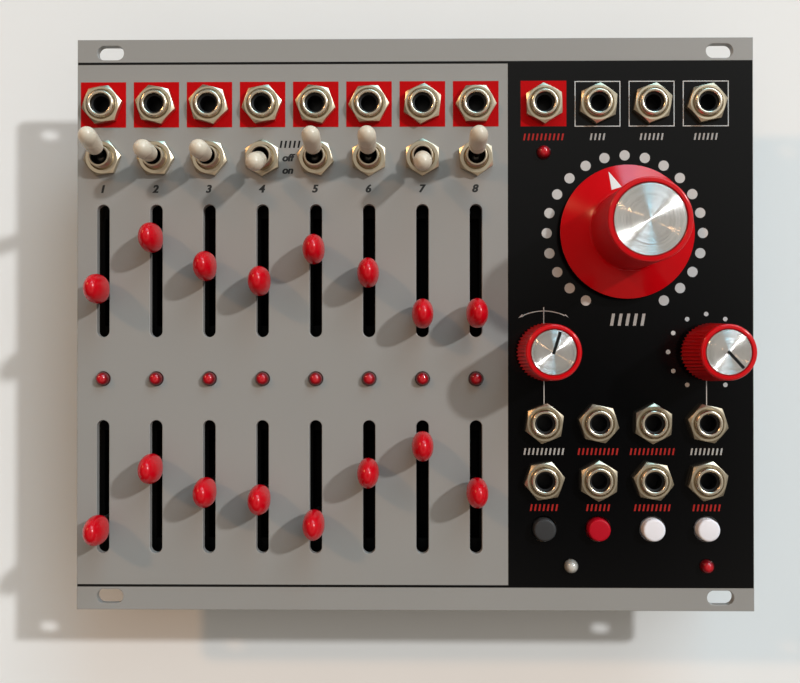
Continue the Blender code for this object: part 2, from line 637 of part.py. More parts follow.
def make_knob(name, place, pointer, sections, top, inlay_radius, finishes):
    """Knob over its bushing and shaft, with a disc let into the top.

    The sections run from the underside to the rim of the top face.
    """
    shell, metal, shaft_metal = finishes
    well = round_hole(POT_BUSHING_RADIUS + BORE_CLEARANCE, THREAD_SIDES)
    shaft = circle(SHAFT_RADIUS, THREAD_SIDES, pi / THREAD_SIDES)
    bore = circle(SHAFT_RADIUS + SHAFT_CLEARANCE, THREAD_SIDES, pi / THREAD_SIDES)
    well_top = panel_front + POT_BUSHING_RISE + SEAT_GAP
    shaft_top = top - KNOB_CROWN
    recess = circle(inlay_radius + INLAY_CLEARANCE, INLAY_SIDES)
    disc = circle(inlay_radius, INLAY_SIDES)
    bm = bmesh.new()
    under, rim = loft(bm, sections)
    well_mouth, bore_end = loft(bm, [(well, knob_underside), (well, well_top), (bore, well_top),
                                     (bore, shaft_top + SEAT_GAP)])
    recess_mouth, recess_floor = loft(bm, [(recess, top), (recess, top - INLAY_THICKNESS - SEAT_GAP)])
    fill(bm, [under, well_mouth])
    fill(bm, [rim, recess_mouth])
    close_loop(bm, bore_end)
    close_loop(bm, recess_floor)
    make_node(f"{name}_knob", bm, [shell], (*place, 0), (0, 0, pointer))

    bm = bmesh.new()
    solid(bm, [(disc, top - INLAY_THICKNESS), (disc, top)])
    make_node(f"{name}_inlay", bm, [metal], (*place, 0), (0, 0, pointer))

    bm = bmesh.new()
    solid(bm, [(shaft, body_top + SEAT_GAP), (shaft, shaft_top)])
    make_node(f"{name}_shaft", bm, [shaft_metal], (*place, 0), (0, 0, pointer))


def fluted_circle(radius):
    """Circle with one groove for each flute."""
    points = []
    for i in range(2 * FLUTES):
        angle = pi * i / FLUTES
        reach = radius - FLUTE_DEPTH * (i % 2)
        points.append((reach * cos(angle), reach * sin(angle)))
    return points


def large_knob_sections(top):
    """Rings of the skirted knob: a thin rim, a cone, a fillet that turns up into a straight grip."""
    rim_top = knob_underside + LARGE_RIM
    fillet_centre = LARGE_GRIP_RADIUS + LARGE_SKIRT_FILLET
    cone_end = fillet_centre - LARGE_SKIRT_FILLET * sin(LARGE_SKIRT_SLOPE)
    cone_top = rim_top + (LARGE_SKIRT_RADIUS - cone_end) * tan(LARGE_SKIRT_SLOPE)
    fillet_top = cone_top + LARGE_SKIRT_FILLET * cos(LARGE_SKIRT_SLOPE)
    profile = [
        (LARGE_SKIRT_RADIUS - LARGE_KNOB_EDGE, knob_underside),
        (LARGE_SKIRT_RADIUS, knob_underside + LARGE_KNOB_EDGE),
        (LARGE_SKIRT_RADIUS, rim_top),
    ]
    for i in range(SWEEP_STEPS + 1):
        slope = LARGE_SKIRT_SLOPE + (pi / 2 - LARGE_SKIRT_SLOPE) * i / SWEEP_STEPS
        radius = fillet_centre - LARGE_SKIRT_FILLET * sin(slope)
        profile.append((radius, fillet_top - LARGE_SKIRT_FILLET * cos(slope)))
    profile.append((LARGE_GRIP_RADIUS, top - LARGE_KNOB_EDGE))
    profile.append((LARGE_GRIP_RADIUS - LARGE_KNOB_EDGE, top))
    return [(circle(radius, KNOB_SIDES), z) for radius, z in profile]


def small_knob_sections(top):
    """Rings of a fluted knob that narrows a little towards its top."""
    return [
        (fluted_circle(SMALL_KNOB_BASE_RADIUS), knob_underside),
        (fluted_circle(SMALL_KNOB_TOP_RADIUS), top - SMALL_KNOB_EDGE),
        (fluted_circle(SMALL_KNOB_TOP_RADIUS - SMALL_KNOB_EDGE), top),
    ]


def make_controls(plastic, finishes):
    """Potentiometers of the control block with their knobs."""
    pointers = {"large": LARGE_POINTER, "left": LEFT_POINTER, "right": RIGHT_POINTER}
    for name, place in pot_places.items():
        make_pot(name, place, plastic, finishes[2])
        if name == "large":
            top = panel_front + LARGE_KNOB_TOP
            sections, inlay_radius = large_knob_sections(top), LARGE_INLAY_RADIUS
        else:
            top = panel_front + SMALL_KNOB_TOP
            sections, inlay_radius = small_knob_sections(top), SMALL_INLAY_RADIUS
        make_knob(name, place, pointers[name], sections, top, inlay_radius, finishes)


def make_capacitors(material):
    """Four tall electrolytic cans on the rear, each with its crimped groove near the board."""
    top = board_rear - SEAT_GAP
    waist = CAN_RADIUS - CAN_GROOVE
    groove = top - CAN_GROOVE_HEIGHT
    profile = (
        (waist, top - CAN_HEIGHT),
        (CAN_RADIUS, top - CAN_HEIGHT + CAN_GROOVE),
        (CAN_RADIUS, groove - CAN_GROOVE),
        (waist, groove),
        (CAN_RADIUS, groove + CAN_GROOVE),
        (CAN_RADIUS, top),
    )
    across, along = CAN_PLACE_SHARES
    corners = [(side, end) for end in (-1, 1) for side in (-1, 1)]
    for i, (side, end) in enumerate(corners):
        place = (side * across * board_half_width, board_centre + end * along * board_half_height, 0)
        bm = bmesh.new()
        solid(bm, [(circle(radius, BUTTON_SIDES), z) for radius, z in profile])
        make_node(f"electrolytic_can_{i + 1}", bm, [material], place)


def make_power_header(plastic, metal):
    """Shrouded sixteen-way power header on the rear, with the key gap in its upper wall."""
    centre = (0, board_centre + HEADER_PLACE_SHARE * board_half_height)
    top = board_rear - SEAT_GAP
    floor = top - HEADER_FLOOR
    mouth = top - HEADER_HEIGHT
    x, y, key = HEADER_LENGTH / 2, HEADER_WIDTH / 2, HEADER_KEY_WIDTH / 2
    inner_x, inner_y = x - HEADER_WALL, y - HEADER_WALL
    # The wall is a C seen from its mouth: outside from one side of the key gap round to
    # the other, then back along the inside
    outside = [(-key, y), (-x, y), (-x, -y), (x, -y), (x, y), (key, y)]
    inside = [(key, inner_y), (inner_x, inner_y), (inner_x, -inner_y), (-inner_x, -inner_y),
              (-inner_x, inner_y), (-key, inner_y)]
    bm = bmesh.new()
    rim, root = loft(bm, [(moved(outside + inside, centre), mouth), (moved(outside + inside, centre), floor)])
    fill(bm, [rim])
    base = add_loop(bm, moved(outside[1:5], centre), top)
    sill_left, corners, sill_right, pocket = root[0], root[1:5], root[5], root[6:]
    for i in range(3):
        bm.faces.new((corners[i], corners[i + 1], base[i + 1], base[i]))
    bm.faces.new((corners[3], sill_right, sill_left, corners[0], base[0], base[3]))
    bm.faces.new(base)
    # Pins rise from the pocket's floor in two rows
    floor_loop = [sill_right] + pocket + [sill_left]
    pin_loops = []
    first = -(HEADER_PINS - 1) * PIN_PITCH / 2
    for i in range(HEADER_PINS):
        for side in (-1, 1):
            place = (centre[0] + first + i * PIN_PITCH, centre[1] + side * PIN_PITCH / 2)
            pin = moved(rectangle(PIN_WIDTH, PIN_WIDTH), place)
            foot, tip = loft(bm, [(pin, floor), (pin, floor - PIN_LENGTH)], 1)
            close_loop(bm, tip, 1)
            pin_loops.append(foot)
    fill(bm, [floor_loop] + pin_loops)
    make_node("power_header", bm, [plastic, metal])


def make_trimmers(plastic, metal):
    """Calibration trimmers near the top of the rear side, each with its screw."""
    top = board_rear - SEAT_GAP
    face = top - TRIMMER_HEIGHT + TRIMMER_SCREW_RISE
    walls = rectangle(TRIMMER_LENGTH, TRIMMER_WIDTH)
    screw = circle(TRIMMER_SCREW_RADIUS, HOLE_SIDES)
    pitch = TRIMMER_LENGTH + TRIMMER_SPACING
    for i in range(TRIMMERS):
        bm = bmesh.new()
        back, rim = loft(bm, [(walls, top), (walls, face)])
        foot, crown = loft(bm, [(screw, face), (screw, top - TRIMMER_HEIGHT)], 1)
        close_loop(bm, back)
        fill(bm, [rim, foot])
        close_loop(bm, crown, 1)
        place = ((i - (TRIMMERS - 1) / 2) * pitch, board_centre + TRIMMER_PLACE_SHARE * board_half_height, 0)
        make_node(f"trimmer_{i + 1}", bm, [plastic, metal], place)


def clear_scene():
    """Start from an empty scene."""
    for old in list(bpy.data.objects):
        bpy.data.objects.remove(old, do_unlink=True)


def build_module():
    """Make every piece of the module."""
    anodised = make_material("anodised_panel", (0.32, 0.31, 0.295), 0.38, 0.6)
    board_mask = make_material("board_mask", (0.008, 0.045, 0.022), 0.4, 0.0)
    black = make_material("black_plastic", (0.012, 0.012, 0.013), 0.45, 0.0)
    nickel = make_material("bright_nickel", (0.66, 0.64, 0.60), 0.22, 1.0)
    nut_metal = make_material("nut_nickel", (0.58, 0.56, 0.53), 0.28, 1.0)
    red = make_material("red_gloss", (0.60, 0.006, 0.010), 0.22, 0.0)
    white = make_material("white_lever", (0.86, 0.84, 0.80), 0.3, 0.0)
    aluminium = make_material("spun_aluminium", (0.80, 0.79, 0.77), 0.3, 1.0)
    led_red = make_material("led_red", (0.34, 0.01, 0.01), 0.15, 0.0)
    led_clear = make_material("led_clear", (0.85, 0.86, 0.86), 0.1, 0.0)
    grey_key = make_material("grey_key", (0.075, 0.078, 0.082), 0.4, 0.0)
    red_key = make_material("red_key", (0.52, 0.008, 0.010), 0.35, 0.0)
    white_key = make_material("white_key", (0.84, 0.83, 0.80), 0.35, 0.0)
    can_sleeve = make_material("can_sleeve", (0.02, 0.025, 0.05), 0.35, 0.0)
    trimmer_blue = make_material("trimmer_blue", (0.02, 0.10, 0.42), 0.4, 0.0)
    brass = make_material("brass", (0.72, 0.49, 0.18), 0.35, 1.0)

    make_panel(anodised, nut_metal)
    make_board(board_mask, black, nickel)
    make_toggle_levers(white)
    make_sliders(red, nickel)
    make_leds(led_red, led_clear)
    make_buttons((grey_key, red_key, white_key, white_key))
    make_controls(black, (red, aluminium, nickel))
    make_capacitors(can_sleeve)
    make_power_header(black, brass)
    make_trimmers(trimmer_blue, brass)


clear_scene()
build_module()
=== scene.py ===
"""A rack module for control voltages, lying on its back on a pale table.

The sections follow the bench: panel, print, sockets, switches, slide controls, lamps,
buttons, dials, then the circuit board and what stands on its rear side. Places and
sizes are metres, except in profiles, nuts and blocks, which are given in millimetres.
"""
from math import cos, pi, radians, sin, tan

import bmesh
import bpy
import numpy as np
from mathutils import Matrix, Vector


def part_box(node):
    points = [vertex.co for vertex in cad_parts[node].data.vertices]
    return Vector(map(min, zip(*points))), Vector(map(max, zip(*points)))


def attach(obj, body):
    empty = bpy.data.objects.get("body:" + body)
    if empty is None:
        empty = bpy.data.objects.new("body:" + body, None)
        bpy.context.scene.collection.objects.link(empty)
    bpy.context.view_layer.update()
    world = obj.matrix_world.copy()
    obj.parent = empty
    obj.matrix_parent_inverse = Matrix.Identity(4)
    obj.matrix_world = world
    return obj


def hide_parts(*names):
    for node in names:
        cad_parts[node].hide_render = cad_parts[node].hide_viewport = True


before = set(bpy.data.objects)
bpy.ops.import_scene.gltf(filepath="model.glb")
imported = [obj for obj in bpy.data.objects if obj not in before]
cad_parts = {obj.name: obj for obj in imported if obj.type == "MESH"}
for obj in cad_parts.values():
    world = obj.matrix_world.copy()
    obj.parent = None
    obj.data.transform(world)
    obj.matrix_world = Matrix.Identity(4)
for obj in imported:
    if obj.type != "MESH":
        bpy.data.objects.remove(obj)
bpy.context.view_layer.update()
for default in [bpy.data.objects.get(name) for name in ("Cube", "Light", "Camera")]:
    if default:
        bpy.data.objects.remove(default)

# Front panel: a 2 mm aluminium sheet, punched, its edges broken by tumbling, then
# anodised a satin grey. Nuts cover the holes of the sockets, switches and dials.
MM = 0.001
PANEL_REAR = 22.4 * MM
PANEL_FRONT = 24.4 * MM
PANEL_WIDTH = 152.0 * MM
PANEL_HEIGHT = 128.5 * MM
PANEL_EDGE = 0.12 * MM
JACK_HOLE = 3.3 * MM
SLIDE_SLOT = (2.8 * MM, 29.9 * MM)
MOUNT_SLOT = (3.2 * MM, 6.0 * MM)
step_columns = (-70.1 + 12.0 * np.arange(8)) * MM
control_columns = (29.1 + 12.1 * np.arange(4)) * MM


def in_row(columns, height):
    """Places with the X of each column and one Y, given in millimetres."""
    return np.column_stack([columns, np.full(len(columns), height * MM)])


jack_places = np.vstack([in_row(step_columns, 49.3), in_row(control_columns, 49.3),
                         in_row(control_columns, -22.25), in_row(control_columns, -35.05)])
toggle_places = in_row(step_columns, 37.35)
slide_places = {"upper": in_row(step_columns, 12.0), "lower": in_row(step_columns, -36.6)}
step_lamp_places = in_row(step_columns, -12.3)
button_places = in_row(control_columns, -45.9)
lamp_places = {"top": np.array([29.1, 38.5]) * MM, "foot": np.array([65.4, -54.2]) * MM,
               "clear": np.array([35.15, -54.2]) * MM}
dial_places = {"large": np.array([47.25, 20.35]) * MM, "left": np.array([29.1, -6.3]) * MM,
               "right": np.array([65.4, -6.3]) * MM}
mount_places = np.array([[x, y] for x in (-68.5, 68.5) for y in (-61.25, 61.25)]) * MM


def ring(radius, count=40):
    """Outline of a circle: radius times the cosine and sine of equal steps of angle."""
    angle = np.arange(count) * 2 * pi / count
    return radius * np.column_stack([np.cos(angle), np.sin(angle)])


def slot_shape(width, length, upright=True, count=24):
    """Outline of a slot: a circle as wide as the slot whose two halves are pushed apart."""
    angle = (np.arange(count) + 0.5) * 2 * pi / count
    across, along = width / 2 * np.cos(angle), width / 2 * np.sin(angle)
    along = along + np.sign(along) * (length - width) / 2
    return np.column_stack([across, along] if upright else [along, -across])


def frame_shape(width, height, middle=(0.0, 0.0)):
    """Outline of a rectangle about its middle."""
    corners = np.array([[1, -1], [1, 1], [-1, 1], [-1, -1]])
    return corners * np.array([width, height]) / 2 + np.asarray(middle)


def settled(mesh, crease):
    """Merge the points that coincide, and smooth each edge that turns less than the crease."""
    net = bmesh.new()
    net.from_mesh(mesh)
    bmesh.ops.remove_doubles(net, verts=net.verts, dist=1e-7)
    net.to_mesh(mesh)
    net.free()
    mesh.shade_smooth()
    mesh.set_sharp_from_angle(angle=radians(crease))
    return mesh


def sheet_metal(name, outlines, low, high, edge=0.0, crease=15):
    """Flat sheet between two heights. Outlines inside others are holes, and every edge is
    rounded to the given radius, which is taken off the sheet and never added."""
    curve = bpy.data.curves.new(name, "CURVE")
    curve.dimensions, curve.fill_mode = "2D", "BOTH"
    curve.extrude = (high - low) / 2 - edge
    curve.bevel_depth, curve.bevel_resolution, curve.offset = edge, 1, -edge
    for outline in outlines:
        spline = curve.splines.new("POLY")
        spline.points.add(len(outline) - 1)
        padded = np.column_stack([outline, np.zeros(len(outline)), np.ones(len(outline))])
        spline.points.foreach_set("co", padded.ravel())
        spline.use_cyclic_u = True
    cutter = bpy.data.objects.new(name, curve)
    mesh = bpy.data.meshes.new_from_object(cutter)
    bpy.data.objects.remove(cutter)
    height = np.zeros(len(mesh.vertices) * 3)
    mesh.vertices.foreach_get("co", height)
    height[2::3] += (low + high) / 2
    mesh.vertices.foreach_set("co", height)
    return settled(mesh, crease)


class Reading:
    """What a node gives out. An operator on it adds a Math node, so formulas stay Python."""

    def __init__(self, wiring, socket):
        self.wiring, self.socket = wiring, socket

    def math(self, operation, *terms):
        return self.wiring.node("ShaderNodeMath", {"operation": operation}, dict(enumerate(terms)))

    def __add__(self, other):
        return self.math("ADD", self, other)

    def __sub__(self, other):
        return self.math("SUBTRACT", self, other)

    def __rsub__(self, other):
        return self.math("SUBTRACT", other, self)

    def __mul__(self, other):
        return self.math("MULTIPLY", self, other)

    def __gt__(self, other):
        return self.math("GREATER_THAN", self, other)

    __radd__, __rmul__ = __add__, __mul__


class Wiring:
    """Nodes of one tree, each made with its settings first, then its sockets' values or links."""

    def __init__(self, tree):
        self.tree = tree

    def fill(self, socket, value):
        if isinstance(value, Reading):
            self.tree.links.new(value.socket, socket)
        else:
            socket.default_value = value

    def node(self, kind, settings=None, sockets=None, output=0):
        made = self.tree.nodes.new(kind)
        for name, value in (settings or {}).items():
            if name == "stops":
                for spot, colour in value[2:]:
                    made.color_ramp.elements.new(spot)
                for stop, (spot, colour) in zip(made.color_ramp.elements, sorted(value)):
                    stop.position, stop.color = spot, colour
            else:
                setattr(made, name, value)
        for name, value in (sockets or {}).items():
            self.fill(made.inputs[name], value)
        return Reading(self, made.outputs[output])

    def vector(self, operation, *terms, output=0):
        """Vector sum, product, length or unit vector of these terms."""
        return self.node("ShaderNodeVectorMath", {"operation": operation}, dict(enumerate(terms)), output)

    def blend(self, share, first, second, way="MIX"):
        """Colour between two others, or the two multiplied."""
        return self.node("ShaderNodeMix", {"data_type": "RGBA", "blend_type": way},
                         {0: share, 6: first, 7: second}, 2)


class Finish(Wiring):
    """A material in the making. What is the same all over goes on the shader's sockets."""

    def __init__(self, name, colour, roughness, metallic=0.0, **constants):
        self.material = bpy.data.materials.new(name)
        self.material.use_nodes = True
        super().__init__(self.material.node_tree)
        self.shader = self.tree.nodes["Principled BSDF"]
        self.colour = (*colour, 1.0)
        self.set({"Base Color": self.colour, "Roughness": roughness, "Metallic": metallic})
        self.set({key.replace("_", " "): value for key, value in constants.items()})
        self.material.diffuse_color = self.colour

    def set(self, sockets):
        for name, value in sockets.items():
            self.fill(self.shader.inputs[name], value)

    def here(self):
        return self.node("ShaderNodeTexCoord", output="Object")

    def noise(self, size, detail=2.0, stretch=(1.0, 1.0, 1.0)):
        """Noise from 0 to 1 whose patches measure about this much, in metres."""
        spot = self.node("ShaderNodeMapping", sockets={"Vector": self.here(), "Scale": stretch})
        sockets = {"Vector": spot, "Scale": 1 / size, "Detail": detail}
        return self.node("ShaderNodeTexNoise", sockets=sockets)

    def shade(self, share, darkest):
        """The finish's own colour, down to this share of it where the reading is 0."""
        dark = tuple(part * darkest for part in self.colour[:3]) + (1.0,)
        return self.blend(share, dark, self.colour)

    def relief(self, height, depth, strength):
        """Normal of a surface that this reading lifts by up to this depth."""
        sockets = {"Height": height, "Distance": depth, "Strength": strength}
        return self.node("ShaderNodeBump", sockets=sockets)


def show(name, mesh, finish, body="root", stands_for=()):
    """Put a mesh in the scene as a piece that rides on a CAD body."""
    piece = bpy.data.objects.new(name, mesh)
    bpy.context.collection.objects.link(piece)
    mesh.materials.append(finish.material)
    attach(piece, body)
    if stands_for:
        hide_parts(*stands_for)


round_holes = ((jack_places, JACK_HOLE), (toggle_places, 2.7 * MM), (dial_places.values(), 4.05 * MM),
               ([*step_lamp_places, *lamp_places.values()], 1.64 * MM), (button_places, 2.9 * MM))
hole_outlines = [place + ring(radius) for places, radius in round_holes for place in places]
hole_outlines += [place + slot_shape(*SLIDE_SLOT) for row in slide_places.values() for place in row]

anodised = Finish("satin_anodising", (0.305, 0.294, 0.276), 0.45, 0.12, Specular_IOR_Level=0.4)
tone, grain = anodised.noise(22 * MM, 1.0), anodised.noise(0.16 * MM, 3.0)
anodised.set({"Base Color": anodised.shade(0.55 * tone + 0.45 * grain, 0.90),
              "Roughness": 0.38 + 0.14 * grain,
              "Normal": anodised.relief(grain, 0.004 * MM, 0.6)})
panel_outlines = [frame_shape(PANEL_WIDTH, PANEL_HEIGHT), *hole_outlines]
panel_outlines += [place + slot_shape(*MOUNT_SLOT, upright=False) for place in mount_places]
show("panel_sheet", sheet_metal("panel_sheet", panel_outlines, PANEL_REAR, PANEL_FRONT, PANEL_EDGE),
     anodised, stands_for=["front_panel"])

# Print on the panel: ink pressed through a screen in four colours, each a film a few
# hundredths of a millimetre thick. The black field frames the controls on the right.
INK_TOP = PANEL_FRONT + 0.025 * MM
INK_OVER = PANEL_FRONT + 0.04 * MM
FIELD_LEFT = 21.1 * MM
RULE_INNER, RULE_OUTER = 58.55 * MM, 59.1 * MM
FIELD_SIDE = PANEL_WIDTH / 2 - 0.15 * MM
SQUARE = 10.25 * MM
LINE_WIDTH = 0.20 * MM
ARC_RADIUS, ARC_TOP, ARC_HALF = 11.2 * MM, 9.2 * MM, radians(25.0)
ARROW_LENGTH, ARROW_HALF, ARROW_AHEAD = 1.1 * MM, 0.30 * MM, 0.09


def ink(name, colour, roughness, outlines, top, gloss=0.15):
    """Ink film over these outlines, slightly mottled by the mesh of the screen."""
    finish = Finish(name, colour, roughness, Specular_IOR_Level=gloss)
    mottle, weave = finish.noise(9 * MM, 2.0), finish.noise(0.12 * MM, 2.0)
    finish.set({"Base Color": finish.shade(0.6 * mottle + 0.4 * weave, 0.78),
                "Roughness": roughness - 0.05 + 0.10 * weave,
                "Normal": finish.relief(weave, 0.002 * MM, 0.5)})
    show(name, sheet_metal(name, outlines, PANEL_FRONT, top), finish)


def clear_of(outlines, left, right, low, high):
    """The outlines that lie between these sides."""
    return [o for o in outlines if left < o[:, 0].min() and o[:, 0].max() < right
            and low < o[:, 1].min() and o[:, 1].max() < high]


field = np.array([[-FIELD_SIDE, -RULE_OUTER], [FIELD_SIDE, -RULE_OUTER], [FIELD_SIDE, RULE_OUTER],
                  [-FIELD_SIDE, RULE_OUTER], [-FIELD_SIDE, RULE_INNER], [FIELD_LEFT, RULE_INNER],
                  [FIELD_LEFT, -RULE_INNER], [-FIELD_SIDE, -RULE_INNER]])
field_holes = clear_of(hole_outlines, FIELD_LEFT, FIELD_SIDE, -RULE_OUTER, RULE_OUTER)
ink("black_ink", (0.0013, 0.0013, 0.0016), 0.18, [field, *field_holes], INK_TOP, gloss=0.28)

red_places = np.vstack([in_row(step_columns, 49.5), in_row(control_columns[:1], 49.5)])
red_outlines = [frame_shape(SQUARE, SQUARE, place) for place in red_places]
red_outlines += [place + ring(JACK_HOLE) for place in jack_places[:len(red_places)]]
ink("red_ink", (0.50, 0.0010, 0.0025), 0.42, red_outlines, INK_OVER, gloss=0.08)

white_lines = [frame_shape(size, size, place) for place in in_row(control_columns[1:], 49.4)
               for size in (SQUARE, SQUARE - 2 * LINE_WIDTH)]
arc_centre = dial_places["left"] + np.array([0.0, ARC_TOP - ARC_RADIUS])
arc_turn = pi / 2 + np.linspace(-ARC_HALF, ARC_HALF, 24)
arc_way = np.column_stack([np.cos(arc_turn), np.sin(arc_turn)])
white_lines.append(arc_centre + np.vstack([arc_way * (ARC_RADIUS + LINE_WIDTH / 2),
                                           arc_way[::-1] * (ARC_RADIUS - LINE_WIDTH / 2)]))
for side in (-1, 1):
    turn = pi / 2 + side * (ARC_HALF + ARROW_AHEAD)
    out, along = np.array([np.cos(turn), np.sin(turn)]), side * np.array([-np.sin(turn), np.cos(turn)])
    tip = arc_centre + ARC_RADIUS * out
    foot = tip - ARROW_LENGTH * along
    white_lines.append(np.array([tip, foot + ARROW_HALF * out, foot - ARROW_HALF * out]))
white_lines.append(frame_shape(LINE_WIDTH, 6.0 * MM, (dial_places["left"][0], 0.75 * MM)))
for name in ("left", "right"):
    white_lines.append(frame_shape(LINE_WIDTH, 9.0 * MM, (dial_places[name][0] + 0.05 * MM, -15.0 * MM)))
ink("white_ink", (0.62, 0.61, 0.59), 0.5, white_lines, INK_OVER)


def strokes(place, width, height=1.5 * MM):
    """Slanted bars in a row, which stand where a label has its word. The corners of a bar
    are shares of its height."""
    pitch = 0.63 * height
    count = int(round(width / pitch))
    lean = np.array([[-0.215, -0.5], [0.04, -0.5], [0.215, 0.5], [-0.04, 0.5]]) * height
    middles = (np.arange(count) - (count - 1) / 2) * pitch
    return [place + np.array([middle, 0.0]) + lean for middle in middles]


label_rows = {42.0: ((9.0, "red"), (3.4, "white"), (5.4, "white"), (5.4, "white")),
              -28.6: ((9.5, "white"), (9.2, "red"), (10.4, "red"), (7.6, "white")),
              -41.15: ((6.4, "red"), (5.7, "red"), (8.8, "red"), (6.8, "red"))}
labels = {"white": [], "red": []}
for height, words in label_rows.items():
    for place, (width, colour) in zip(in_row(control_columns, height), words):
        labels[colour] += strokes(place, width * MM)
labels["white"] += strokes(np.array([47.9, 0.95]) * MM, 8.7 * MM, 2.7 * MM)
ink("label_strokes", (0.42, 0.41, 0.39), 0.5, labels["white"], INK_OVER)
ink("red_strokes", (0.42, 0.018, 0.014), 0.5, labels["red"], INK_OVER)
switch_label = strokes(np.array([-27.9, 40.5]) * MM, 5.0 * MM, 1.6 * MM)
ink("black_strokes", (0.005, 0.005, 0.005), 0.5, switch_label, INK_TOP)


def dots_round(dial, reach, dot, turns):
    """Dots about a dial, one at each turn, with this reach from the dial's middle."""
    return [dial_places[dial] + reach * np.array([np.cos(turn), np.sin(turn)]) + dot for turn in turns]


dial_turns = radians(-60) + np.arange(21) * radians(15)
dots = dots_round("large", 17.45 * MM, ring(1.15 * MM), dial_turns)
dots += dots_round("right", 8.5 * MM, ring(0.51 * MM, 20), dial_turns[::2])
ink("grey_ink", (0.58, 0.56, 0.535), 0.5, dots, INK_OVER)


def lettering(name, words, size, places, weight=0.028, slant=0.22):
    """Slanted heavy letters, each word centred on its place, as outlines pressed flat. The
    letters are cut one metre high and then scaled. A word is pressed twice, a little to
    each side, which makes its upright strokes heavier."""
    joined, middle = bmesh.new(), (INK_TOP + PANEL_FRONT) / 2
    for word, (x, y) in zip(words, places):
        for side in (-1, 1):
            curve = bpy.data.curves.new(name, "FONT")
            curve.body, curve.shear = word, slant
            curve.align_x, curve.align_y = "CENTER", "CENTER"
            curve.offset, curve.extrude = weight, (INK_TOP - PANEL_FRONT) / 2 / size
            setter = bpy.data.objects.new(name, curve)
            film = bpy.data.meshes.new_from_object(setter)
            bpy.data.objects.remove(setter)
            spots = np.zeros(len(film.vertices) * 3)
            film.vertices.foreach_get("co", spots)
            moved = [x + side * size * weight, y, middle + side * 0.001 * MM]
            film.vertices.foreach_set("co", (spots.reshape(-1, 3) * size + moved).ravel())
            joined.from_mesh(film)
    mesh = bpy.data.meshes.new(name)
    joined.to_mesh(mesh)
    joined.free()
    return settled(mesh, 15)


digits = lettering("step_numbers", "12345678", 2.4 * MM, in_row(step_columns - 0.25 * MM, 30.4))
black_print = Finish("black_lettering", (0.005, 0.005, 0.005), 0.5)
black_print.set({"Roughness": 0.42 + 0.16 * black_print.noise(0.2 * MM)})
show("step_numbers", digits, black_print)
words = lettering("switch_words", ["off", "on"], 2.3 * MM, np.array([[-28.5, 37.4], [-28.5, 34.6]]) * MM)
show("switch_words", words, black_print)

# Jack sockets for 3.5 mm plugs: a black moulded body on the circuit board, a nickelled
# brass barrel through the panel with a fine thread, and a hexagon nut screwed down on it,
# each left at its own angle.
BOARD_FACE, BODY_TOP, NUT_FOOT = 12.4, 22.1, 24.44


def turned(profile, places, sides=40, turns=0.0):
    """A profile of radii and heights, in millimetres, turned about upright axes.

    Point j of ring i stands at the place plus the ring's radius times the cosine and sine
    of j equal steps of a full turn, begun at that place's own turn, at the ring's height.
    A ring's radius and height may also be given for each of its points.
    """
    places = np.atleast_2d(places)
    shape = (len(places), len(profile), sides)
    rings = [np.stack([np.broadcast_to(point[k], sides) for point in profile]) * MM for k in (0, 1)]
    radius, height = (np.broadcast_to(part, shape) for part in rings)
    angle = np.arange(sides) * 2 * pi / sides + np.broadcast_to(turns, len(places))[:, None]
    x = places[:, 0, None, None] + radius * np.cos(angle)[:, None, :]
    y = places[:, 1, None, None] + radius * np.sin(angle)[:, None, :]
    return np.stack([x, y, height], -1)


def arc(radius, height, size, start, end, count):
    """Profile points on a circle about (radius, height), from one angle to another."""
    angle = np.radians(np.linspace(start, end, count))
    return list(zip(radius + size * np.cos(angle), height + size * np.sin(angle)))


def skin(name, grids, crease=28):
    """Mesh over grids of points, each shaped copies by rings by points of a ring.

    Each face joins two neighbours on one ring to the same two on the next. Rings that
    climb on the outside and sink on the inside face outwards.
    """
    points, faces, start = [], [], 0
    for grid in grids:
        copies, rings, sides = grid.shape[:3]
        steps = np.arange(copies), np.arange(rings - 1), np.arange(sides)
        copy, row, side = np.meshgrid(*steps, indexing="ij")
        first = start + (copy * rings + row) * sides
        here, after = first + side, first + (side + 1) % sides
        faces.append(np.stack([here, after, after + sides, here + sides], -1).reshape(-1, 4))
        points.append(grid.reshape(-1, 3))
        start += copies * rings * sides
    mesh = bpy.data.meshes.new(name)
    mesh.from_pydata(np.vstack(points).tolist(), [], np.vstack(faces).tolist())
    return settled(mesh, crease)


def build(name, grids, finish, body="root", stands_for=(), crease=28):
    """Show the skin over these grids as one piece."""
    show(name, skin(name, grids, crease), finish, body, stands_for)


def thread(radius, low, high, pitch=0.5, depth=0.2):
    """Profile of a fine thread: the radius steps in and out every half pitch."""
    heights = np.arange(low, high, pitch / 2)
    return [(radius - depth * (i % 2), z) for i, z in enumerate(heights)]


def hexagon_nuts(flats, height, bore, places, turns):
    """Hexagon nuts over a bore.

    At each angle a flat stands at half the flats over the cosine of the angle to its own
    middle. A cone of 30 degrees takes the corners off the top, so the side ends lower by
    its reach past the cone's edge times the tangent of 30 degrees.
    """
    sides, cone_share = 72, 0.487
    angle = np.arange(sides) * 2 * pi / sides
    flat = flats / 2 / np.cos((angle + pi / 6) % (pi / 3) - pi / 6)
    cone, top = flats * cone_share, NUT_FOOT + height
    shoulder = top - (flat - cone) * tan(radians(30))
    profile = [(bore, NUT_FOOT), (flat - 0.12, NUT_FOOT), (flat, NUT_FOOT + 0.1), (flat, shoulder),
               (cone, top), (cone - 0.06, top), (bore + 0.46, top), (bore + 0.4, top), (bore, top - 0.4),
               (bore, NUT_FOOT)]
    return turned(profile, places, sides, turns)


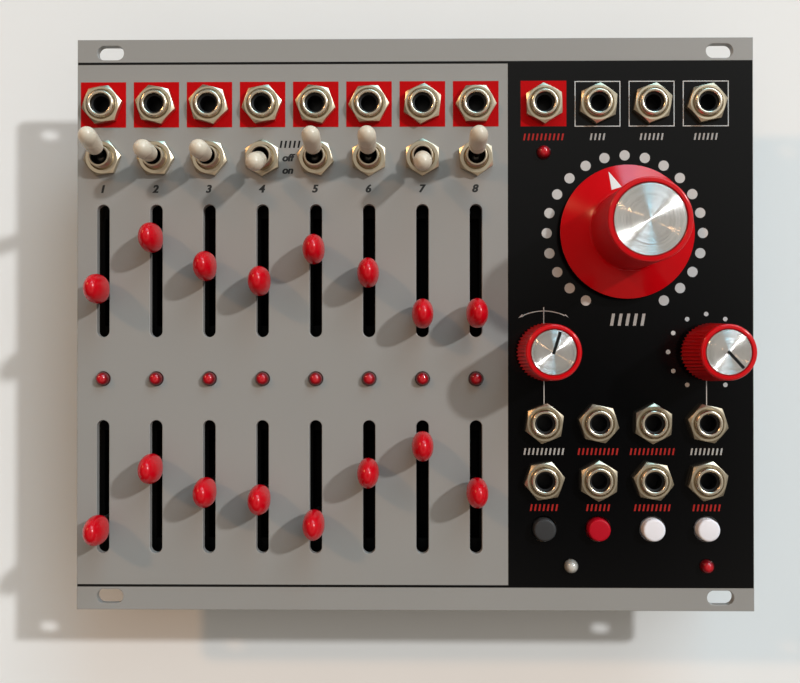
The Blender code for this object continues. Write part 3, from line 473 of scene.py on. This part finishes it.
def plated(name, colour, roughness):
    """Bright nickel plate: soft patches of tarnish and fine marks of the tool."""
    finish = Finish(name, colour, roughness, 1.0)
    patch, mark = finish.noise(2.4 * MM, 2.0), finish.noise(0.09 * MM, 3.0, (1.0, 1.0, 4.0))
    finish.set({"Base Color": finish.shade(0.8 * patch + 0.2 * mark, 0.84),
                "Roughness": roughness - 0.06 + 0.12 * patch,
                "Normal": finish.relief(mark, 0.002 * MM, 0.35)})
    return finish


def moulded(name, colour, roughness, dust=0.0, **constants):
    """Moulded plastic: a fine satin skin whose gloss and colour change a little."""
    finish = Finish(name, colour, roughness, **constants)
    cloud, skin_grain = finish.noise(6 * MM, 2.0), finish.noise(0.14 * MM, 2.0)
    finish.set({"Base Color": finish.shade(cloud, 0.86),
                "Roughness": roughness - 0.05 + 0.10 * cloud + dust * skin_grain,
                "Normal": finish.relief(skin_grain, 0.002 * MM, 0.4)})
    return finish


def block(places, width, length, low, high, corner, edge):
    """Upright blocks with rounded corners and edges, sizes in millimetres.

    A ring's points are the four corner centres, each pushed out by the corner's radius
    less the inset at the points of its own quarter circle. The insets at both ends follow
    a quarter circle of the edge's radius.
    """
    places = np.atleast_2d(places)
    quarter = np.arange(4)[:, None] * pi / 2
    angle = (quarter + np.linspace(0, pi / 2, 4)).ravel()
    middle = np.repeat(quarter.ravel() + pi / 4, 4)
    anchor = np.column_stack([np.sign(np.cos(middle)) * (width / 2 - corner),
                              np.sign(np.sin(middle)) * (length / 2 - corner)])
    roll = np.linspace(0, pi / 2, 3)
    inset = np.concatenate([edge * (1 - np.sin(roll)), edge * (1 - np.cos(roll))])
    heights = np.concatenate([low + edge * (1 - np.cos(roll)), high - edge * (1 - np.sin(roll))])
    reach = np.column_stack([np.cos(angle), np.sin(angle)])
    rings = anchor + (corner - inset)[:, None, None] * reach
    rings = np.concatenate([np.zeros_like(rings[:1]), rings, np.zeros_like(rings[:1])])
    heights = np.concatenate([[low], heights, [high]])
    flat = places[:, None, None, :] + rings * MM
    return np.concatenate([flat, np.broadcast_to(heights[:, None, None] * MM, flat[..., :1].shape)], -1)


jack_turns = np.radians([40, 18, 15, 40, 20, 32, 54, 30, 2, 55, 50, 42, 52, 18, 58, 18, 40, 59, 20, 46])
nut_plate = plated("nut_plate", (0.70, 0.60, 0.44), 0.34)
barrel_plate = plated("barrel_plate", (0.80, 0.70, 0.55), 0.24)
black_plastic = moulded("black_plastic", (0.004, 0.004, 0.0045), 0.42, Specular_IOR_Level=0.3)
jack_nuts = hexagon_nuts(7.9, 1.95, 3.02, jack_places, jack_turns)
build("jack_nuts", [jack_nuts], nut_plate, stands_for=["front_panel"], crease=24)
barrel = [(2.16, BODY_TOP), *thread(3.0, BODY_TOP, 26.9), *arc(2.62, 26.98, 0.38, 0, 90, 7)[:-1],
          *arc(2.56, 26.96, 0.4, 90, 180, 7), (2.16, 26.8), (2.16, BODY_TOP)]
build("jack_barrels", [turned(barrel, jack_places, 48)], barrel_plate,
      stands_for=["main_board"])
bore_lining = [(2.15, 26.3), (1.8, 26.2), (1.8, 14.0), (0.9, 13.4), (0.0, 13.4)]
jack_bodies = block(jack_places, 9.0, 10.5, BOARD_FACE, BODY_TOP, 0.4, 0.3)
build("jack_bodies", [jack_bodies, turned(bore_lining, jack_places, 32)], black_plastic,
      stands_for=["main_board"])

# Toggle switches: a nickelled bushing with a nut, and a bat lever with a white sleeve
# that tilts about a ball inside the bushing. The switch body stands on the board.
TOGGLE_PIVOT = 25.4
TOGGLE_THROW = radians(15)
toggle_states = np.array([1, 0, 0, -1, 1, 1, -1, 1])
toggle_turns = np.radians([38, 30, 20, 0, 18, 0, 0, 5])
toggle_nuts = hexagon_nuts(7.3, 1.6, 2.42, toggle_places, toggle_turns)
build("toggle_nuts", [toggle_nuts], nut_plate, stands_for=["front_panel"], crease=24)
bushing = [(1.86, BODY_TOP), *thread(2.4, BODY_TOP, 27.9), *arc(2.2, 28.15, 0.2, 0, 90, 4), (2.1, 28.35),
           (1.98, 28.35), (1.86, 28.2), (1.86, BODY_TOP)]
bushing_plate = plated("bushing_plate", (0.64, 0.53, 0.39), 0.36)
build("toggle_bushings", [turned(bushing, toggle_places, 40)], bushing_plate,
      stands_for=["main_board"])
cup = [(1.84, 27.6), (1.8, 27.5), (1.8, 23.9), (0.0, 23.7)]
toggle_bodies = block(toggle_places, 6.9, 8.2, BOARD_FACE, BODY_TOP, 0.3, 0.25)
build("toggle_bodies", [toggle_bodies, turned(cup, toggle_places, 24)], black_plastic,
      stands_for=["main_board"])
white_sleeve = moulded("white_sleeve", (0.71, 0.62, 0.49), 0.28, Specular_IOR_Level=0.45)
dark_steel = plated("dark_steel", (0.09, 0.085, 0.08), 0.4)
tip_angle = np.radians(np.linspace(0, 87, 12))
bat = [(0.0, 5.24), (1.5, 5.2), (1.72, 5.24), (1.82, 5.36), (1.86, 5.6), (1.93, 7.4), (1.99, 9.4),
       *zip(2.0 * np.cos(tip_angle), 10.7 + 2.5 * np.sin(tip_angle)), (0.0, 13.2)]
stem = [(0.0, -1.48), *arc(0.0, 0.0, 1.5, -75, 60, 9), (0.74, 1.9), (0.72, 5.3), (0.0, 5.3)]


def tilted(grid, place, tilt):
    """A grid turned about the pin of a switch and stood at its place: Y goes to Y cos tilt
    less Z sin tilt, and Z to Y sin tilt plus Z cos tilt, above the pin."""
    x, y, z = np.moveaxis(grid, -1, 0)
    return np.stack([x + place[0], y * np.cos(tilt) - z * np.sin(tilt) + place[1],
                     y * np.sin(tilt) + z * np.cos(tilt) + TOGGLE_PIVOT * MM], -1)


for number, (place, state) in enumerate(zip(toggle_places, toggle_states), 1):
    node, tilt = f"toggle_lever_{number}", -state * TOGGLE_THROW
    for part, profile, finish, slot in (("bat", bat, white_sleeve, "white_lever"),
                                        ("stem", stem, dark_steel, "bright_nickel")):
        grid = tilted(turned(profile, np.zeros(2), 36), place, tilt)
        build(f"toggle_{part}_{number}", [grid], finish, node, [node])

# Slide controls: a long black housing on the board with a slot for its blade, and a
# glossy red cap, moulded as an egg with a cut-off foot and pressed on the blade.
HOUSING_TOP = 19.4
CAP_FOOT, CAP_HEIGHT = 25.9, 8.8
CAP_HALF = (2.4, 3.3)
CAP_WIDEST = 0.36
red_gloss = moulded("red_gloss", (0.58, 0.0010, 0.008), 0.25, Specular_IOR_Level=0.36)
blade_steel = plated("blade_steel", (0.45, 0.44, 0.42), 0.35)
housing = Finish("housing_black", (0.0015, 0.0015, 0.0015), 0.6, Specular_IOR_Level=0.12)
housing.set({"Roughness": 0.5 + 0.25 * housing.noise(0.5 * MM)})
all_slides = np.vstack(list(slide_places.values()))
housing_walls = [block(all_slides + np.array([side * 2.75, 0.0]) * MM, 3.5, 35.0, BOARD_FACE,
                       HOUSING_TOP, 0.3, 0.25) for side in (-1, 1)]
housing_walls += [block(all_slides + np.array([0.0, end * 14.9]) * MM, 2.2, 5.2, BOARD_FACE,
                        HOUSING_TOP - 0.05, 0.2, 0.1) for end in (-1, 1)]
trough = block(all_slides, 2.2, 25.0, BOARD_FACE, 15.0, 0.2, 0.1)
build("slide_housings", [*housing_walls, trough], housing, stands_for=["main_board"])


def egg(place, count=32, sides=72):
    """Cap of a slide control.

    It is widest at a share of 0.36 of its height. Under that its half width is 1 less a
    fifth of the square of how far down it is, and above it is the 2.3-power superellipse
    that closes at the top. A level is a superellipse too, whose power falls from 2.4 at
    the foot to 2 half way up.
    """
    rise = np.sin(np.linspace(0, pi / 2, count - 5))
    t = np.concatenate([np.linspace(0, CAP_WIDEST, 6)[:-1], CAP_WIDEST + (1 - CAP_WIDEST) * rise])
    under, over = (np.clip(way, 0, 1) for way in ((CAP_WIDEST - t) / CAP_WIDEST,
                                                  (t - CAP_WIDEST) / (1 - CAP_WIDEST)))
    dome = np.maximum(1 - over ** 2.3, 0) ** (1 / 2.3)
    share = np.where(t < CAP_WIDEST, 1 - 0.2 * under ** 2, dome)
    share = np.concatenate([[0, share[0] - 0.07, share[0] - 0.02], share])[:, None]
    t = np.concatenate([[0, 0, 0.012], np.maximum(t, 0.03)])[:, None]
    angle = np.arange(sides) * 2 * pi / sides
    root = 2 / (2 + 0.4 * np.clip(1 - t / 0.5, 0, 1))
    x, y = (middle + half * MM * share * np.sign(wave) * np.abs(wave) ** root
            for middle, half, wave in zip(place, CAP_HALF, (np.cos(angle), np.sin(angle))))
    z = np.broadcast_to((CAP_FOOT + CAP_HEIGHT * t) * MM, x.shape)
    return np.stack([x, y, z], -1)[None]


for row in slide_places:
    for number in range(1, 9):
        node = f"slider_{row}_{number}"
        low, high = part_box(node)
        place = np.array([(low.x + high.x) / 2, (low.y + high.y) / 2])
        build(f"slide_cap_{row}_{number}", [egg(place)], red_gloss, node, [node], crease=70)
        blade = block(place, 1.2, 4.0, 15.4, 26.2, 0.15, 0.1)
        build(f"slide_blade_{row}_{number}", [blade], blade_steel, node, [node])

# Lamps: 3 mm light-emitting diodes, unlit, their flange held under the panel. The epoxy is tinted right
# through.
# Its colour is painted: paler in the middle as a painted reflection of the cup inside, darker at the rim
# as painted shade.
LAMP_RADIUS, DOME_BASE = 1.52, 24.85


def epoxy(name, middle, rim, roughness=0.08):
    """Clear or tinted resin whose colour is painted from a bright middle, a painted reflection of the cup
    inside, out to a rim darkened as painted shade.
    """
    finish = Finish(name, middle, roughness, Specular_IOR_Level=0.6)
    reach = finish.node("ShaderNodeAttribute", {"attribute_name": "reach"}, output="Fac")
    speck = finish.noise(0.5 * MM, 1.0)
    share = finish.node("ShaderNodeMapRange", {"interpolation_type": "SMOOTHSTEP"},
                        {"Value": reach + 0.25 * speck, "From Min": 0.45, "From Max": 1.05})
    # Base colour painted by the reach: the bright middle is a painted reflection, the dark rim painted
    # shade.
    finish.set({"Base Color": finish.blend(share, (*middle, 1.0), (*rim, 1.0)),
                "Roughness": roughness + 0.05 * speck})
    return finish


# The first colour of each is the painted reflection in the middle, the second the painted shade at the
# rim.
red_epoxy = epoxy("red_epoxy", (0.48, 0.002, 0.010), (0.12, 0.001, 0.003))
clear_epoxy = epoxy("clear_epoxy", (0.52, 0.49, 0.44), (0.24, 0.225, 0.20))
lamp = [(0.0, 21.1), (1.85, 21.1), (1.9, 21.15), (1.9, 22.05), (1.85, BODY_TOP), (LAMP_RADIUS, 22.12),
        *arc(0.0, DOME_BASE, LAMP_RADIUS, 0, 84, 12), (0.0, DOME_BASE + LAMP_RADIUS)]
led_places = {f"led_step_{i + 1}": place for i, place in enumerate(step_lamp_places)}
led_places.update({f"led_{name}": place for name, place in lamp_places.items()})
for node, place in led_places.items():
    mesh = skin(node.replace("led", "lamp"), [turned(lamp, place, 36)])
    # The reach from each lamp's middle places the painted reflection and painted shade of its epoxy.
    reach = mesh.attributes.new("reach", "FLOAT", "POINT")
    points = np.zeros(len(mesh.vertices) * 3)
    mesh.vertices.foreach_get("co", points)
    offset = points.reshape(-1, 3)[:, :2] - place
    reach.data.foreach_set("value", (np.hypot(*offset.T) / (1.5 * MM)).astype(np.float32))
    finish, slot = (clear_epoxy, "led_clear") if node == "led_clear" else (red_epoxy, "led_red")
    show(mesh.name, mesh, finish, stands_for=[node])
spacer = [(0.0, BOARD_FACE), (1.7, BOARD_FACE), (1.7, 20.8), (0.0, 20.8)]
build("lamp_spacers", [turned(spacer, np.array(list(led_places.values())), 20)], black_plastic,
      stands_for=["main_board"])

# Push buttons: plain round caps in four colours, each with a collar under the panel and
# a stem that ends over a small square switch on the board.
cap_profile = [(0.0, 17.5), (1.6, 17.5), (1.6, 21.1), (3.25, 21.1), (3.3, 21.15), (3.3, 22.05),
               (3.25, BODY_TOP), (2.5, BODY_TOP), (2.5, 26.1), *arc(2.0, 26.1, 0.5, 0, 90, 7),
               (1.9, 26.61), (1.0, 26.64), (0.0, 26.65)]
key_colours = (("grey_key", (0.039, 0.039, 0.040)), ("red_key", (0.45, 0.001, 0.012)),
               ("white_key", (0.85, 0.82, 0.85)), ("white_key", (0.85, 0.82, 0.85)))
for number, (place, (slot, colour)) in enumerate(zip(button_places, key_colours), 1):
    node = f"button_{number}"
    key = moulded(f"key_{number}", colour, 0.36, 0.1, Specular_IOR_Level=0.2)
    build(f"button_cap_{number}", [turned(cap_profile, place, 48)], key, node, [node])
build("button_switches", [block(button_places, 6.0, 6.0, BOARD_FACE, 16.7, 0.4, 0.2)], black_plastic,
      stands_for=["main_board"])

# Dials: potentiometers with a steel cover behind the panel, and red knobs with a disc of
# spun aluminium let into the top. The large knob has a skirt with a white pointer.
DIAL_BASE = 26.8
LARGE_TOP, SMALL_TOP = 49.8, 41.3
SKIRT_RADIUS, SKIRT_LOW, SKIRT_RISE = 14.85, 27.5, tan(radians(29.0))
RIBS, RIB_DEPTH = 48, 0.42
pointers = {"large": radians(108.0), "left": radians(72.2), "right": radians(-47.3)}
knob_red = moulded("knob_red", (0.60, 0.0015, 0.005), 0.15, Specular_IOR_Level=0.40)
normal = knob_red.node("ShaderNodeNewGeometry", output="Normal")
facing = knob_red.node("ShaderNodeSeparateXYZ", {}, {0: normal}, "Z")
steep = knob_red.node("ShaderNodeMapRange", {}, {"Value": facing, "From Min": 0.4, "From Max": 0.1})
knob_red.set({"Roughness": 0.11 + 0.08 * knob_red.noise(6 * MM, 2.0) + 0.28 * steep})


def spun(name, centre):
    """Aluminium spun under a fine tool. Each groove tilts the surface in or out along the
    radius, by noise that changes with the distance from the centre alone. Half of the
    grooves are torn, and so duller."""
    finish = Finish(name, (0.88, 0.86, 0.83), 0.12, 1.0)
    away = finish.vector("SUBTRACT", finish.here(), (*centre, 0.0))
    flat = finish.vector("MULTIPLY", away, (1.0, 1.0, 0.0))
    reach = finish.vector("LENGTH", flat, output="Value")
    outward = finish.vector("NORMALIZE", flat)
    groove, torn = (finish.node("ShaderNodeTexNoise", {"noise_dimensions": "1D"},
                                {"W": reach, "Scale": scale, "Detail": detail})
                    for scale, detail in ((60000.0, 1.0), (47000.0, 0.0)))
    lean = finish.node("ShaderNodeVectorMath", {"operation": "SCALE"},
                       {0: outward, "Scale": 2.5 * (groove - 0.5)})
    upright = finish.node("ShaderNodeNewGeometry", output="Normal")
    finish.set({"Normal": finish.vector("NORMALIZE", finish.vector("ADD", upright, lean)),
                "Base Color": finish.shade(groove, 0.90),
                "Roughness": 0.12 + 0.08 * (torn > 0.5)})
    return finish


def disc(radius, top, place):
    """Inlay disc with a narrow turned edge."""
    profile = [(0.0, top - 0.75), (radius - 0.05, top - 0.75), (radius, top - 0.7), (radius, top - 0.08),
               (radius - 0.08, top), (0.0, top)]
    return turned(profile, place, 72)


def large_profile():
    """The large knob: a thin rim, a skirt that climbs at 29 degrees and turns up into the
    straight grip with a hollow of 1.3 mm, a rounded top edge, and the recess of the disc."""
    skirt = [(SKIRT_RADIUS - reach, SKIRT_LOW + reach * SKIRT_RISE) for reach in (0.03, 2.0, 4.0)]
    return [(4.4, DIAL_BASE), (14.4, DIAL_BASE), *arc(14.5, 27.15, 0.35, -80, 60, 6), *skirt,
            *arc(9.9, 31.73, 1.3, 241, 180, 8), (8.6, LARGE_TOP - 0.45),
            *arc(8.15, LARGE_TOP - 0.45, 0.45, 0, 90, 6), (7.6, LARGE_TOP), (7.48, LARGE_TOP - 0.1),
            (7.46, 48.7), (0.0, 48.7), (0.0, 48.6), (4.4, 48.6), (4.4, DIAL_BASE)]


def small_profile(sides):
    """A small knob. Its side has 48 ribs: the radius sinks by 0.42 times the power 1.3 of
    the sine of 24 times the angle, and the ribs end close under the smooth rim."""
    angle = np.arange(sides) * 2 * pi / sides
    dip = RIB_DEPTH * np.abs(np.sin(RIBS / 2 * angle)) ** 1.3
    base, climb = DIAL_BASE + 0.25, SMALL_TOP - 1.15 - DIAL_BASE
    side = [(6.45 - 0.55 * t - dip * min(1.0, 0.35 + 9 * (1 - t)), base + climb * t)
            for t in np.linspace(0, 1, 12)]
    return [(4.4, DIAL_BASE), (6.1 - dip, DIAL_BASE), *side, *arc(5.4, SMALL_TOP - 0.5, 0.5, 0, 90, 6),
            (4.98, SMALL_TOP), (4.88, SMALL_TOP - 0.1), (4.86, 40.2), (0.0, 40.2), (0.0, 40.1),
            (4.4, 40.1), (4.4, DIAL_BASE)]


pot_cover = plated("pot_cover", (0.58, 0.57, 0.55), 0.32)
small_kind = (384, small_profile(384), SMALL_TOP, 4.72)
dial_kinds = {"large": (144, large_profile(), LARGE_TOP, 7.3), "left": small_kind, "right": small_kind}
for number, (name, place) in enumerate(dial_places.items()):
    sides, profile, top, disc_radius = dial_kinds[name]
    body, pot = f"{name}_knob", f"{name}_pot"
    build(f"{name}_dial", [turned(profile, place, sides)], knob_red, body, [body], crease=32)
    build(f"{name}_disc", [disc(disc_radius, top - 0.06, place)], spun(f"spun_{name}", place),
          body, [f"{name}_inlay"], crease=20)
    spindle = [(0.0, 22.4), (3.0, 22.4), (3.0, top - 2.6), (0.0, top - 2.6)]
    build(f"{name}_spindle", [turned(spindle, place, 24)], barrel_plate, body,
          [f"{name}_shaft"])
    build(f"{name}_dial_nut", [hexagon_nuts(10.0, 1.7, 3.78, place, 0.4 * number)], nut_plate,
          stands_for=["front_panel"])
    collar = [(3.26, BODY_TOP), *thread(3.75, BODY_TOP, 29.2), (3.6, 29.4), (3.26, 29.4), (3.26, BODY_TOP)]
    build(f"{name}_dial_bushing", [turned(collar, place, 32)], barrel_plate,
          stands_for=[pot])
    build(f"{name}_dial_cover", [block(place, 9.5, 11.0, 12.7, BODY_TOP, 0.8, 0.4)], pot_cover,
          stands_for=[pot])

black_line = Finish("pointer_black", (0.003, 0.003, 0.003), 0.45, Specular_IOR_Level=0.25)
black_line.set({"Roughness": 0.38 + 0.15 * black_line.noise(0.3 * MM)})
corners = np.array([[-0.35, -0.32], [4.5, -0.32], [4.5, 0.32], [-0.35, 0.32]]) * MM
for name in ("left", "right"):
    turn = pointers[name]
    along, across = np.array([np.cos(turn), np.sin(turn)]), np.array([-np.sin(turn), np.cos(turn)])
    outline = dial_places[name] + corners[:, :1] * along + corners[:, 1:] * across
    film = sheet_metal(f"{name}_pointer", [outline], (SMALL_TOP - 0.07) * MM, (SMALL_TOP - 0.03) * MM)
    show(f"{name}_pointer", film, black_line, f"{name}_knob")

POINTER_TIP, POINTER_LENGTH = 13.8, 4.2
reach = np.linspace(POINTER_TIP, POINTER_TIP - POINTER_LENGTH, 12)[:, None]
rails = np.array([[-1, -0.2], [-1, 0.05], [-0.5, 0.06], [0, 0.06], [0.5, 0.06], [1, 0.05], [1, -0.2]])
aside = rails[:, 0] * (0.04 + 1.1 * (POINTER_TIP - reach) / POINTER_LENGTH)
away = np.hypot(reach, aside)
turn = pointers["large"] + np.arctan2(aside, reach)
wedge_x, wedge_y = dial_places["large"][:, None, None] + away * MM * np.stack([np.cos(turn), np.sin(turn)])
wedge_z = (SKIRT_LOW + (SKIRT_RADIUS - away) * SKIRT_RISE + rails[:, 1]) * MM
wedge = np.stack([wedge_x, wedge_y, wedge_z], -1)
ends = [np.broadcast_to(wedge[end, [0, -1]].mean(0), (1, 7, 3)) for end in (0, -1)]
wedge = np.concatenate([ends[0], wedge, ends[1]])[None]
white_fill = moulded("white_fill", (0.80, 0.78, 0.76), 0.4)
build("large_pointer", [wedge], white_fill, "large_knob")

# Circuit board: 1.6 mm glass fibre under green solder mask, with copper tracks showing
# faintly through it, and every component's leads soldered on the rear face.
BOARD_REAR = 10.8
BOARD_SIZE = (150.4 * MM, 111.85 * MM)
board_middle = np.array([0.0, -0.775]) * MM
mask_green = Finish("solder_mask", (0.010, 0.060, 0.028), 0.32, Coat_Weight=0.3)
fibre = mask_green.noise(0.5 * MM, 2.0)
tracks = mask_green.node("ShaderNodeTexVoronoi", {"distance": "CHEBYCHEV"},
                         {"Vector": mask_green.here(), "Scale": 210.0})
swing = tracks.math("PINGPONG", tracks, 0.10)
lines = mask_green.node("ShaderNodeMapRange", {}, {"Value": swing, "From Min": 0.045, "From Max": 0.06})
mask_green.set({"Base Color": mask_green.blend(lines, (0.006, 0.036, 0.018, 1), (0.014, 0.085, 0.04, 1)),
                "Roughness": 0.26 + 0.14 * fibre,
                "Normal": mask_green.relief(lines, 0.03 * MM, 0.6)})
board_outline = frame_shape(*BOARD_SIZE, board_middle)
board = sheet_metal("board_sheet", [board_outline], BOARD_REAR * MM, BOARD_FACE * MM, 0.05 * MM)
show("board_sheet", board, mask_green, stands_for=["main_board"])
lead_spots = ((jack_places, ((0, 4.4), (-3.2, -4.0), (3.2, -4.0))),
              (toggle_places, ((0, -2.54), (0, 0), (0, 2.54))),
              (all_slides, ((-2, 16), (2, 16), (-2, -16), (2, -16), (0, 13.5), (0, -13.5))),
              (led_places.values(), ((-1.27, 0), (1.27, 0))),
              (button_places, ((-3, 2), (3, 2), (-3, -2), (3, -2))),
              (dial_places.values(), ((-2.5, -4.4), (0, -4.4), (2.5, -4.4), (-4, 3), (4, 3))))
leads = [place + np.array(spot) * MM for places, spots in lead_spots for place in places for spot in spots]
drop = [(0.0, 9.55), (0.22, 9.55), (0.26, 9.65), (0.28, 10.05), (0.5, 10.45), (0.85, 10.72),
        (0.9, 10.82), (0.0, 10.82)]
solder = plated("solder", (0.62, 0.62, 0.61), 0.28)
build("solder_joints", [turned(drop, np.array(leads), 12)], solder,
      stands_for=["main_board"])

# Rear side: two rows of chips in their moulded cases, four tall electrolytic capacitors
# in dark sleeves, the shrouded power header and two trimmers.
PIN_PITCH = 2.54
REAR_SEAT = 10.5
chip_places = np.array([[x, y] for x in (-37.95, -12.65, 12.65, 37.95) for y in (-10.975, 9.425)]) * MM
chip_black = moulded("chip_black", (0.016, 0.016, 0.017), 0.55, 0.1)
cases = block(chip_places, 19.3, 6.4, 7.5, 10.3, 0.2, 0.2)
notches = turned([(0.0, 7.46), (0.9, 7.46), (0.9, 7.6), (0.0, 7.6)],
                 chip_places + np.array([-8.2, 0.0]) * MM, 20)
build("chip_cases", [cases, notches], chip_black, stands_for=["main_board"])
pitch = (np.arange(7) - 3) * PIN_PITCH
feet = [place + np.array([x, side * 3.45]) * MM
        for place in chip_places for x in pitch for side in (-1, 1)]
legs = block(np.array(feet), 1.3, 0.35, 8.6, 10.82, 0.15, 0.08)
build("chip_legs", [legs], solder, stands_for=["main_board"])

can_sleeve = moulded("can_sleeve", (0.016, 0.020, 0.045), 0.28, Coat_Weight=0.3)
can_metal = plated("can_metal", (0.72, 0.72, 0.72), 0.30)
can_offset = np.array([0.70 * 75.2, 0.78 * 55.925]) * MM
sleeve = [(3.35, 0.16), (3.3, 0.05), (3.6, 0.02), *arc(3.6, 0.42, 0.4, -90, 0, 6), (4.0, 8.5), (3.86, 8.7),
          (3.62, 8.9), (3.86, 9.1), (4.0, 9.3), (4.0, 10.3), (3.7, REAR_SEAT), (0.0, REAR_SEAT),
          (0.0, 0.3), (3.3, 0.3), (3.35, 0.16)]
lid = [(0.0, 0.0), (3.3, 0.0), (3.3, 0.25), (0.0, 0.25)]
can_corners = [(side, end) for end in (-1, 1) for side in (-1, 1)]
for number, corner in enumerate(can_corners, 1):
    place, node = board_middle + corner * can_offset, f"electrolytic_can_{number}"
    build(f"can_sleeve_{number}", [turned(sleeve, place, 48)], can_sleeve, stands_for=[node])
    build(f"can_lid_{number}", [turned(lid, place, 40)], can_metal, stands_for=[node])

header_place = np.array([0.0, -44.3965]) * MM
header_walls = [(-13.4, 0.0, 1.2, 8.9), (13.4, 0.0, 1.2, 8.9), (0.0, -3.85, 26.0, 1.2),
                (-7.6, 3.85, 10.7, 1.2), (7.6, 3.85, 10.7, 1.2)]
shroud = [block(header_place + np.array([x, y]) * MM, width, length, 1.4, REAR_SEAT, 0.2, 0.15)
          for x, y, width, length in header_walls]
shroud.append(block(header_place, 26.4, 6.9, 8.0, REAR_SEAT, 0.2, 0.15))
build("header_shroud", shroud, black_plastic, stands_for=["power_header"])
pin_places = [header_place + np.array([x, side * PIN_PITCH / 2]) * MM
              for x in (np.arange(8) - 3.5) * PIN_PITCH for side in (-1, 1)]
gilt = plated("gilt", (0.78, 0.55, 0.22), 0.22)
header_pins = block(np.array(pin_places), 0.64, 0.64, 3.0, 8.4, 0.12, 0.14)
build("header_pins", [header_pins], gilt, stands_for=["power_header"])

trimmer_blue = moulded("trimmer_blue", (0.018, 0.095, 0.40), 0.38)
screw_head = [(0.0, 2.75), (1.0, 2.75), (1.1, 2.85), (1.1, 3.2), (0.0, 3.2)]
for number, x in enumerate((-8.75, 8.75), 1):
    place, node = np.array([x, 42.85]) * MM, f"trimmer_{number}"
    case = block(place, 9.5, 4.8, 3.1, REAR_SEAT, 0.3, 0.25)
    build(f"trimmer_case_{number}", [case], trimmer_blue, stands_for=[node])
    build(f"trimmer_screw_{number}", [turned(screw_head, place, 28)], gilt, stands_for=[node])

# Table, light and camera: a pale table top, a small key lamp at the upper right, a warm
# lamp at the left in two parts, one for its light and one for its glint, a dim room with
# a wide cool window beyond the module, and a camera above.
WINDOW_WAY, WINDOW_GLOW = radians(67.0), 5.7
FOCAL_PIXELS, IMAGE_WIDTH, SENSOR = 1029.0, 800.0, 36.0
table = Finish("table_top", (0.81, 0.81, 0.80), 0.5)
top_grain = table.noise(30 * MM, 2.0)
table.set({"Base Color": table.shade(top_grain, 0.97), "Roughness": 0.45 + 0.1 * top_grain})
table_mesh = bpy.data.meshes.new("table_top")
table_corners = [(x, y, -0.2 * MM) for x, y in ((-3, -3), (3, -3), (3, 3), (-3, 3))]
table_mesh.from_pydata(table_corners, [], [(0, 1, 2, 3)])
table_mesh.materials.append(table.material)
table_top = bpy.data.objects.new("table_top", table_mesh)
bpy.context.collection.objects.link(table_top)


def lamp_at(name, azimuth, elevation, power, colour, spread):
    """Sun-like lamp that shines from this azimuth and elevation, with soft shadow edges."""
    light = bpy.data.lights.new(name, "SUN")
    light.energy, light.color, light.angle = power, colour, radians(spread)
    source = bpy.data.objects.new(name, light)
    source.rotation_euler = (0.0, radians(90 - elevation), radians(azimuth))
    bpy.context.collection.objects.link(source)
    return source


lamp_at("key_lamp", 31, 42, 1.78, (0.97, 0.99, 1.0), 3)
lamp_at("warm_lamp", 143, 38, 0.80, (1.0, 0.56, 0.27), 4).visible_glossy = False
lamp_at("warm_glint", 143, 27, 0.70, (1.0, 0.58, 0.29), 9).visible_diffuse = False
room = bpy.data.worlds.new("pale_room")
room.use_nodes = True
walls = Wiring(room.node_tree)
way = walls.node("ShaderNodeSeparateXYZ", {}, {0: walls.node("ShaderNodeTexCoord")})
across, along, up = (Reading(walls, part) for part in way.socket.node.outputs)


def fade(reading, start, end):
    """Rises smoothly from 0 to 1 between two readings."""
    return walls.node("ShaderNodeMapRange", {"interpolation_type": "SMOOTHSTEP"},
                      {"Value": reading, "From Min": start, "From Max": end})


greys = ((0.0, 0.10), (0.46, 0.08), (0.63, 0.16), (0.75, 0.64), (0.90, 0.60), (0.935, 0.48), (0.971, 0.36),
         (0.987, 0.19), (0.995, 0.05), (1.0, 0.0))
stops = [(spot, (grey, grey, grey, 1.0)) for spot, grey in greys]
overhead = 0.984 * up + 0.157 * across - 0.089 * along
shade = walls.node("ShaderNodeValToRGB", {"stops": stops}, {0: overhead})
tint = walls.blend(0.30 + 0.50 * along + 0.25 * across, (1.0, 0.85, 0.70, 1.0), (0.82, 0.95, 1.0, 1.0))
ahead = cos(WINDOW_WAY) * across + sin(WINDOW_WAY) * along
aside = sin(WINDOW_WAY) * across - cos(WINDOW_WAY) * along
pane = (fade(ahead, 0.0, 0.1) * fade(aside, -0.35, -0.25) * fade(aside, 0.37, 0.25)
        * fade(up, 0.22, 0.32) * fade(up, 0.70, 0.58))
plain = walls.blend(1.0, shade, tint, "MULTIPLY")
sky = walls.blend(fade(aside, -0.14, 0.02), (0.34, 0.76, 1.0, 1.0), (0.72, 0.88, 1.0, 1.0))
backdrop = room.node_tree.nodes["Background"]
walls.fill(backdrop.inputs["Color"], walls.blend(pane, plain, sky))
walls.fill(backdrop.inputs["Strength"], 1.09 + 0.35 * along + 0.35 * across + (WINDOW_GLOW - 1.0) * pane)
bpy.context.scene.world = room
bpy.context.scene.view_settings.view_transform = "Standard"

lens = bpy.data.cameras.new("photo_camera")
lens.sensor_width, lens.lens = SENSOR, FOCAL_PIXELS / IMAGE_WIDTH * SENSOR
lens.clip_start, lens.clip_end = 0.01, 10.0
camera = bpy.data.objects.new("photo_camera", lens)
camera.location = (-0.09 * MM, -5.32 * MM, 231.2 * MM + PANEL_FRONT)
camera.rotation_euler = (radians(0.344), radians(0.756), radians(-0.016))
bpy.context.collection.objects.link(camera)
bpy.context.scene.camera = camera
